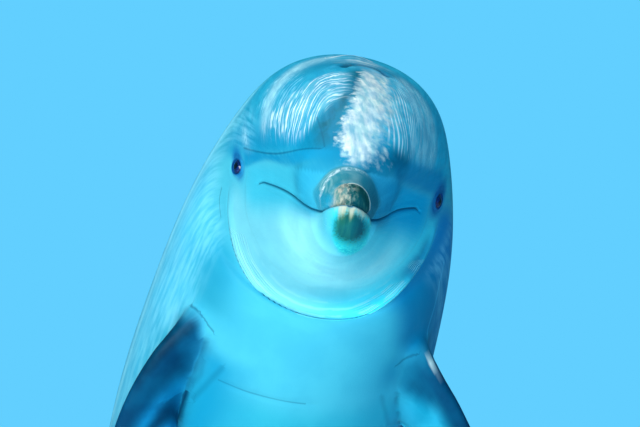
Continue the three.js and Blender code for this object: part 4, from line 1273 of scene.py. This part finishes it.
# %% Fins
_, paler_in, glint_in, front_in = stored(tree, "fin_marks")
cloudy = spatter(tree, place_in, (34, 34, 34), 0.34, 0.66, detail=4.0, seed=2.0)
right_face = coat(tree, linear("#0876aa"), "#1194c8", cloudy)
left_face = coat(tree, linear("#149abb"), "#2ab0d0", cloudy)
face = coat(tree, right_face, left_face, left_in)
pale_face = coat(tree, linear("#0a80aa"), "#34bade", left_in)
colour = coats(tree, colour, [(face, flipper_in), (pale_face, paler_in), ("#013b5d", navy_in),
                              ("#01273f", front_in), ("#f2fbee", glint_in), ("#10708f", tail_in)])
print(len(tree.nodes), "nodes with the fins")

# %% Clouding all over
mottled = spatter(tree, place_in, (70, 60, 70), 0.36, 0.64, detail=6.0, seed=6.0)
brow_mottled = spatter(tree, place_in, (14, 12, 22), 0.4, 0.62, detail=6.0, seed=6.0)
colour = coats(tree, colour, [("#0c87b0", 0.16, mottled), ("#0b86ac", 0.35, brow_mottled, forehead_in)])
print(len(tree.nodes), "nodes with the clouding")

# %% Liner brush
_, throat_fold, chest_fold, mouth_fold = stored(tree, "folds")
_, bridle_line, forehead_line, flank_line = stored(tree, "lines")
_, shoulder_fold, inner_fold, armpit = stored(tree, "shoulders")
# Painted shade in the folds of throat, chest and mouth, and dark lines along the top of the stripe and on the forehead.
for distance, width, strength in [(throat_fold, 2.6, 0.8), (chest_fold, 2.4, 0.4), (mouth_fold, 2.2, 0.85),
                                  (bridle_line, 2.3, 0.6), (forehead_line, 1.8, 0.45)]:
    colour = coat(tree, colour, "#055471", stroke(tree, distance, width, strength))
# Painted shade in the folds at the flippers, in the slit on the neck and, darkest, in the right armpit; a pale line
# along the left flank.
for distance, width, strength, ink in [(shoulder_fold, 3.0, 0.55, "#054a66"), (neck_slit, 2.4, 0.45, "#054a66"),
                                       (inner_fold, 8.0, 0.25, "#054a66"), (fold_line, 7.0, 0.2, "#054a66"),
                                       (armpit, 9.0, 0.9, "#012f4e"), (flank_line, 2.4, 0.55, "#4fc4e6")]:
    colour = coat(tree, colour, ink, stroke(tree, distance, width, strength), drawn_in)
print(len(tree.nodes), "nodes with the liner strokes")

# %% Fine folds of the throat
ahead = add(tree, "Math", [spatter(tree, place_in, (40, 30, 60), 0.0, 1.0), 12.0, throat_fold], **SUM)
folded = add(tree, "Math", [add(tree, "Math", [ahead, 1 / 9.5], **PRODUCT)], operation="FRACT")
fold_waves = add(tree, "Math", [folded, 1.0, -0.5], **SUM)
inside = add(tree, "MapRange", [throat_fold, -84.0, -60.0], **SMOOTH)
before_crease = add(tree, "MapRange", [throat_fold, -3.0, -7.0], **SMOOTH)
sideways = add(tree, "MapRange", [add(tree, "Math", [x_mm], **SIZE), 42.0, 74.0], **SMOOTH)
low_enough = add(tree, "MapRange", [z_mm, -56.0, -88.0], **SMOOTH)
gaps = spatter(tree, place_in, (40, 26, 40), 0.38, 0.5, seed=5.0)
swell = add(tree, "Math", [add(tree, "Math", [ahead, 2 * np.pi / 34], **PRODUCT)], operation="SINE")
swell = add(tree, "MapRange", [swell, 0.0, 1.0], **SMOOTH)
lowest_part = add(tree, "MapRange", [z_mm, -80.0, -130.0], **SMOOTH)
deeper = add(tree, "MapRange", [throat_fold, -120.0, -80.0], **SMOOTH)
# Painted highlights on the swells between the fine folds of the throat.
colour = coat(tree, colour, "#c9f8f8", 0.22, swell, deeper, before_crease, gaps, lowest_part)
# Each fine fold is a line of painted shade with a painted highlight just beside it.
for offset, ink in [(0.0, "#0a6f8e"), (0.16, "#a4f0f4")]:
    line = stroke(tree, add(tree, "Math", [fold_waves, 1.0, offset], **SUM), 0.16, 0.85)
    colour = coat(tree, colour, ink, line, gaps, inside, before_crease, sideways, low_enough)
print(len(tree.nodes), "nodes with the folds of the throat")

# %% Surface of the silicone
streak = spatter(tree, flat_in, (60, 2.2, 9), 0.3, 0.7, detail=3.0)
relief = add(tree, "Math", [speckle, 0.12, add(tree, "Math", [glow_spots, 0.6], **PRODUCT)], **SUM)
bump = add(tree, "Bump", {"Height": relief, "Strength": 0.25, "Distance": 0.002})
gloss = add(tree, "MapRange", [streak, 0.0, 1.0, 0.36, 0.46])
colour = coat(tree, colour, "#97eafa", 0.38, streak, strokes_in)
shader = add(tree, "BsdfPrincipled", {"Base Color": colour, "Roughness": gloss, "IOR": 1.41,
                                      "Specular IOR Level": 0.07, "Normal": bump})
add(tree, "OutputMaterial", {"Surface": shader})
skin_mesh.materials.clear()
skin_mesh.materials.append(silicone)
print("skin paint uses", len(tree.nodes), "nodes")

# %% [markdown]
# ## Eyes of polished acrylic
#
# Acrylic is clear and hard, with a refractive index of 1.49, and polished until it mirrors the lamps. The iris is
# painted on the back of the ball: nearly black in the middle, with dark blue fibres round it. The polar angle that
# each point stores says how far it lies from the line of sight.

# %% Eye material
acrylic, tree = new_material("polished_acrylic_eye")
gaze_in, polar_in, _, _ = stored(tree, "gaze")
fibres = spatter(tree, gaze_in, (2.0, 0.12, 0.12), 0.35, 0.65, detail=3.0)
iris = coat(tree, linear("#04103c"), "#0a2a68", fibres)
iris = coat(tree, iris, "#030a1c", add(tree, "MapRange", [polar_in, 0.34, 0.26], **SMOOTH))
iris = coat(tree, iris, "#04102c", add(tree, "MapRange", [polar_in, 0.62, 0.74], **SMOOTH))
shader = add(tree, "BsdfPrincipled", {"Base Color": iris, "Roughness": 0.08, "IOR": 1.49})
add(tree, "OutputMaterial", {"Surface": shader})
for ball in eyeballs:
    ball.data.materials.append(acrylic)
print(acrylic.name, "has", len(tree.nodes), "nodes")

# %% [markdown]
# ## The stand
#
# Museums show such a model on a heavy plate with two steel rods that go up into its belly. The plate and the rods are
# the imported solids, which only need their finish. Where each rod meets the plate, a turned collar with four screws
# hides the joint. It could be a cylinder with a bevel, but a profile turned round an axis gives its cove at once.

# %% Lacquered plate
lacquer, tree = new_material("sprayed_satin_lacquer_plate")
object_in = add(tree, "TexCoord").outputs["Object"]
clouded = spatter(tree, object_in, (0.18, 0.18, 0.18), 0.3, 0.7, detail=4.0)
orange_peel = spatter(tree, object_in, (0.003, 0.003, 0.003), 0.2, 0.8)
paint = coat(tree, linear("#cfd6d8"), "#dfe4e5", clouded)
gloss = add(tree, "MapRange", [clouded, 0.0, 1.0, 0.42, 0.5])
bump = add(tree, "Bump", {"Height": orange_peel, "Strength": 0.15, "Distance": 0.0004})
shader = add(tree, "BsdfPrincipled", {"Base Color": paint, "Roughness": gloss, "IOR": 1.5, "Normal": bump})
add(tree, "OutputMaterial", {"Surface": shader})
print(lacquer.name, "has", len(tree.nodes), "nodes")

# %% [markdown]
# ## Brushed steel
#
# The rods are stainless steel, brushed round by an abrasive belt. The scratches are a few tenths of a millimetre wide
# and run round the rod, which spreads the lamps' reflections along it. Scratches that fine don't show at this
# distance, so they are drawn 1.5 mm apart.

# %% Steel of rods and collars
steel, tree = new_material("brushed_stainless_steel")
object_in = add(tree, "TexCoord").outputs["Object"]
scratches = spatter(tree, object_in, (0.12, 0.12, 0.0015), 0.25, 0.75, detail=3.0)
# Worn patches on the steel.
patchy = spatter(tree, object_in, (0.05, 0.05, 0.09), 0.35, 0.7, detail=3.0, seed=3.0)
tone = coat(tree, coat(tree, linear("#9aa0a3"), "#b9bec0", scratches), "#aab0b2", patchy)
gloss = add(tree, "MapRange", [scratches, 0.0, 1.0, 0.26, 0.4])
bump = add(tree, "Bump", {"Height": scratches, "Strength": 0.2, "Distance": 0.0002})
shader = add(tree, "BsdfPrincipled", {"Base Color": tone, "Metallic": 1.0, "Roughness": gloss, "Normal": bump})
add(tree, "OutputMaterial", {"Surface": shader})
print(steel.name, "has", len(tree.nodes), "nodes")

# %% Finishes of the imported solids
for name, material in (("stand_base", lacquer), ("stand_rod_front", steel), ("stand_rod_rear", steel)):
    solid = nodes[name]
    if not solid.material_slots:
        solid.data.materials.append(None)
    for slot in solid.material_slots:
        slot.material = material
    print(name, "is", material.name)


# %% Turned parts
SCREWS, SCREW_CIRCLE = 4, 47.5


def turned_profile(name, profile, centre):
    """A profile of radius and height turned round an upright axis: x and y are the radius times cosine and sine."""
    radii, heights = np.array(profile, float).T
    turns = 2 * np.pi * np.arange(72)[None, :] / 72
    radii, heights = radii[:, None], heights[:, None]
    rings = np.stack([radii * np.cos(turns), radii * np.sin(turns), heights + 0 * turns], -1)
    return closed_mesh(name, rings + np.array(centre), {})


print(SCREWS, "screws on a circle of", 2 * SCREW_CIRCLE, "mm")


# %% Collars and screws
def collar(name, rod, base_top):
    """A collar 21 mm high, which narrows by a cove from 52 mm to 28 mm in radius, and four domed screws in its foot."""
    low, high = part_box(rod)
    centre = ((low[0] + high[0]) / 2 / MM, (low[1] + high[1]) / 2 / MM, base_top / MM)
    cove = np.linspace(0, np.pi / 2, 12)
    curve = [(45 - 17 * np.sin(t), 7 + 13 * (1 - np.cos(t))) for t in cove]
    profile = [(0.5, 0.4), (51, 0.4), (52, 1.2), (52, 6), (51.2, 7), *curve, (27.6, 20.6), (26.6, 21), (0.5, 21)]
    parts = [turned_profile(name, profile, centre)]
    for number in range(SCREWS):
        side = np.pi / 4 + number * 2 * np.pi / SCREWS
        place = (centre[0] + SCREW_CIRCLE * np.cos(side), centre[1] + SCREW_CIRCLE * np.sin(side), centre[2])
        dome = [(0.2, 6.5), (3.4, 6.5), (3.4, 7.6), (3.2, 8.6), (2.4, 9.4), (1.5, 9.7), (1.4, 8.2), (0.2, 8.2)]
        parts.append(turned_profile(f"{name}_screw_{number + 1}", dome, place))
    for part in parts:
        part.data.materials.append(steel)
        part.data.polygons.foreach_set("use_smooth", np.zeros(len(part.data.polygons), bool))
        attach(part, "root")
    return parts


plate_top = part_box("stand_base")[1][2]
collars = collar("stand_collar_front", "stand_rod_front", plate_top)
collars += collar("stand_collar_rear", "stand_rod_rear", plate_top)
print(len(collars), "pieces of hardware on the plate")

# %% [markdown]
# ## Light and surroundings
#
# The model is lit as in a bright aquarium: a large soft key lamp from the left of the camera, a weak one from below,
# a bluish fill from the right and a soft lamp above. Behind it the world shows one clear blue. The world's own light
# is kept four times weaker than it looks, so that the lamps shape the body.

# %% World
BACKDROP, FILL_SHARE = "#62cfff", 0.25
world = bpy.data.worlds.new("studio")
scene.world = world
world.use_nodes = True
world.node_tree.nodes.clear()
tree = world.node_tree
seen = add(tree, "Background", {"Color": linear(BACKDROP), "Strength": 1.0})
fill = add(tree, "Background", {"Color": linear(BACKDROP), "Strength": FILL_SHARE})
path = add(tree, "LightPath")
both = add(tree, "MixShader", [path.outputs["Is Camera Ray"], fill, seen])
add(tree, "OutputWorld", {"Surface": both})
scene.view_settings.view_transform = "Standard"
print(world.name, "has", len(tree.nodes), "nodes")


# %% Lights
def softbox(name, place, target, size, watts, colour="#ffffff"):
    """A square area light at a place, whose minus Z axis is turned towards its target. The camera doesn't see it."""
    data = bpy.data.lights.new(name, "AREA")
    data.size, data.energy, data.color = size, watts, linear(colour)[:3]
    lamp = bpy.data.objects.new(name, data)
    lamp.location = place
    aim = np.array(target) - np.array(place)
    lamp.rotation_euler = (np.arccos(-aim[2] / np.linalg.norm(aim)), 0.0, np.arctan2(aim[0], -aim[1]) + np.pi)
    lamp.visible_camera = False
    scene.collection.objects.link(lamp)
    return lamp


lamps = [softbox("key", (-1.75, -3.3, 1.0), (0.05, -0.6, 0.95), 1.5, 88.0),
         softbox("bounce", (-0.25, -1.9, 0.05), (0.08, -0.75, 0.95), 0.9, 16.0),
         softbox("fill", (0.75, -3.3, 0.5), (0.15, -0.7, 0.9), 1.4, 38.0, "#7fd6ff"),
         softbox("top", (-0.3, -0.9, 3.4), (0.1, -0.7, 1.0), 1.4, 36.0)]
print({lamp.name: lamp.data.energy for lamp in lamps}, "watts")

# %% [markdown]
# ## Floor
#
# A plain pale floor: trowelled resin, matt, with clouds a trowel wide where the trowel turned. It could be poured and
# modelled with its slight unevenness, but that is far too low to show, so one large flat square does, with the clouds
# in its paint. Its edges lie 9 m away, out of the camera's sight.

# %% Floor
FLOOR = 9  # half the length of its side, in metres
floor_mesh = bpy.data.meshes.new("floor")
floor_mesh.from_pydata([(-FLOOR, -FLOOR, 0), (FLOOR, -FLOOR, 0), (FLOOR, FLOOR, 0), (-FLOOR, FLOOR, 0)], [],
                       [(0, 1, 2, 3)])
floor = bpy.data.objects.new("floor", floor_mesh)
scene.collection.objects.link(floor)
resin, tree = new_material("trowelled_pale_resin_floor")
object_in = add(tree, "TexCoord").outputs["Object"]
trowelled = spatter(tree, object_in, (0.24, 0.24, 0.24), 0.3, 0.7, detail=5.0)
tone = coat(tree, linear("#e0e8eb"), "#e8eef0", trowelled)
gloss = add(tree, "MapRange", [trowelled, 0.0, 1.0, 0.74, 0.86])
shader = add(tree, "BsdfPrincipled", {"Base Color": tone, "Roughness": gloss})
add(tree, "OutputMaterial", {"Surface": shader})
floor_mesh.materials.append(resin)
print("floor", 2 * FLOOR, "m square,", resin.name)

# %% [markdown]
# ## Finish
#
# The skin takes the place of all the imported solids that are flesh, and each eyeball that of one packed eye. The stand
# stays as it was packed. Everything rides on the one body, because nothing on a museum model moves.

# %% Finish
FLESH = ["head", "lower_jaw", "neck", "chest", "loins", "tail_stock", "dorsal_fin", "flipper_left", "flipper_right",
         "fluke_left", "fluke_right"]
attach(skin, "root")
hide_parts(*FLESH)
for ball, node in zip(eyeballs, ("eye_right", "eye_left")):
    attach(ball, "root")
    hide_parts(node)
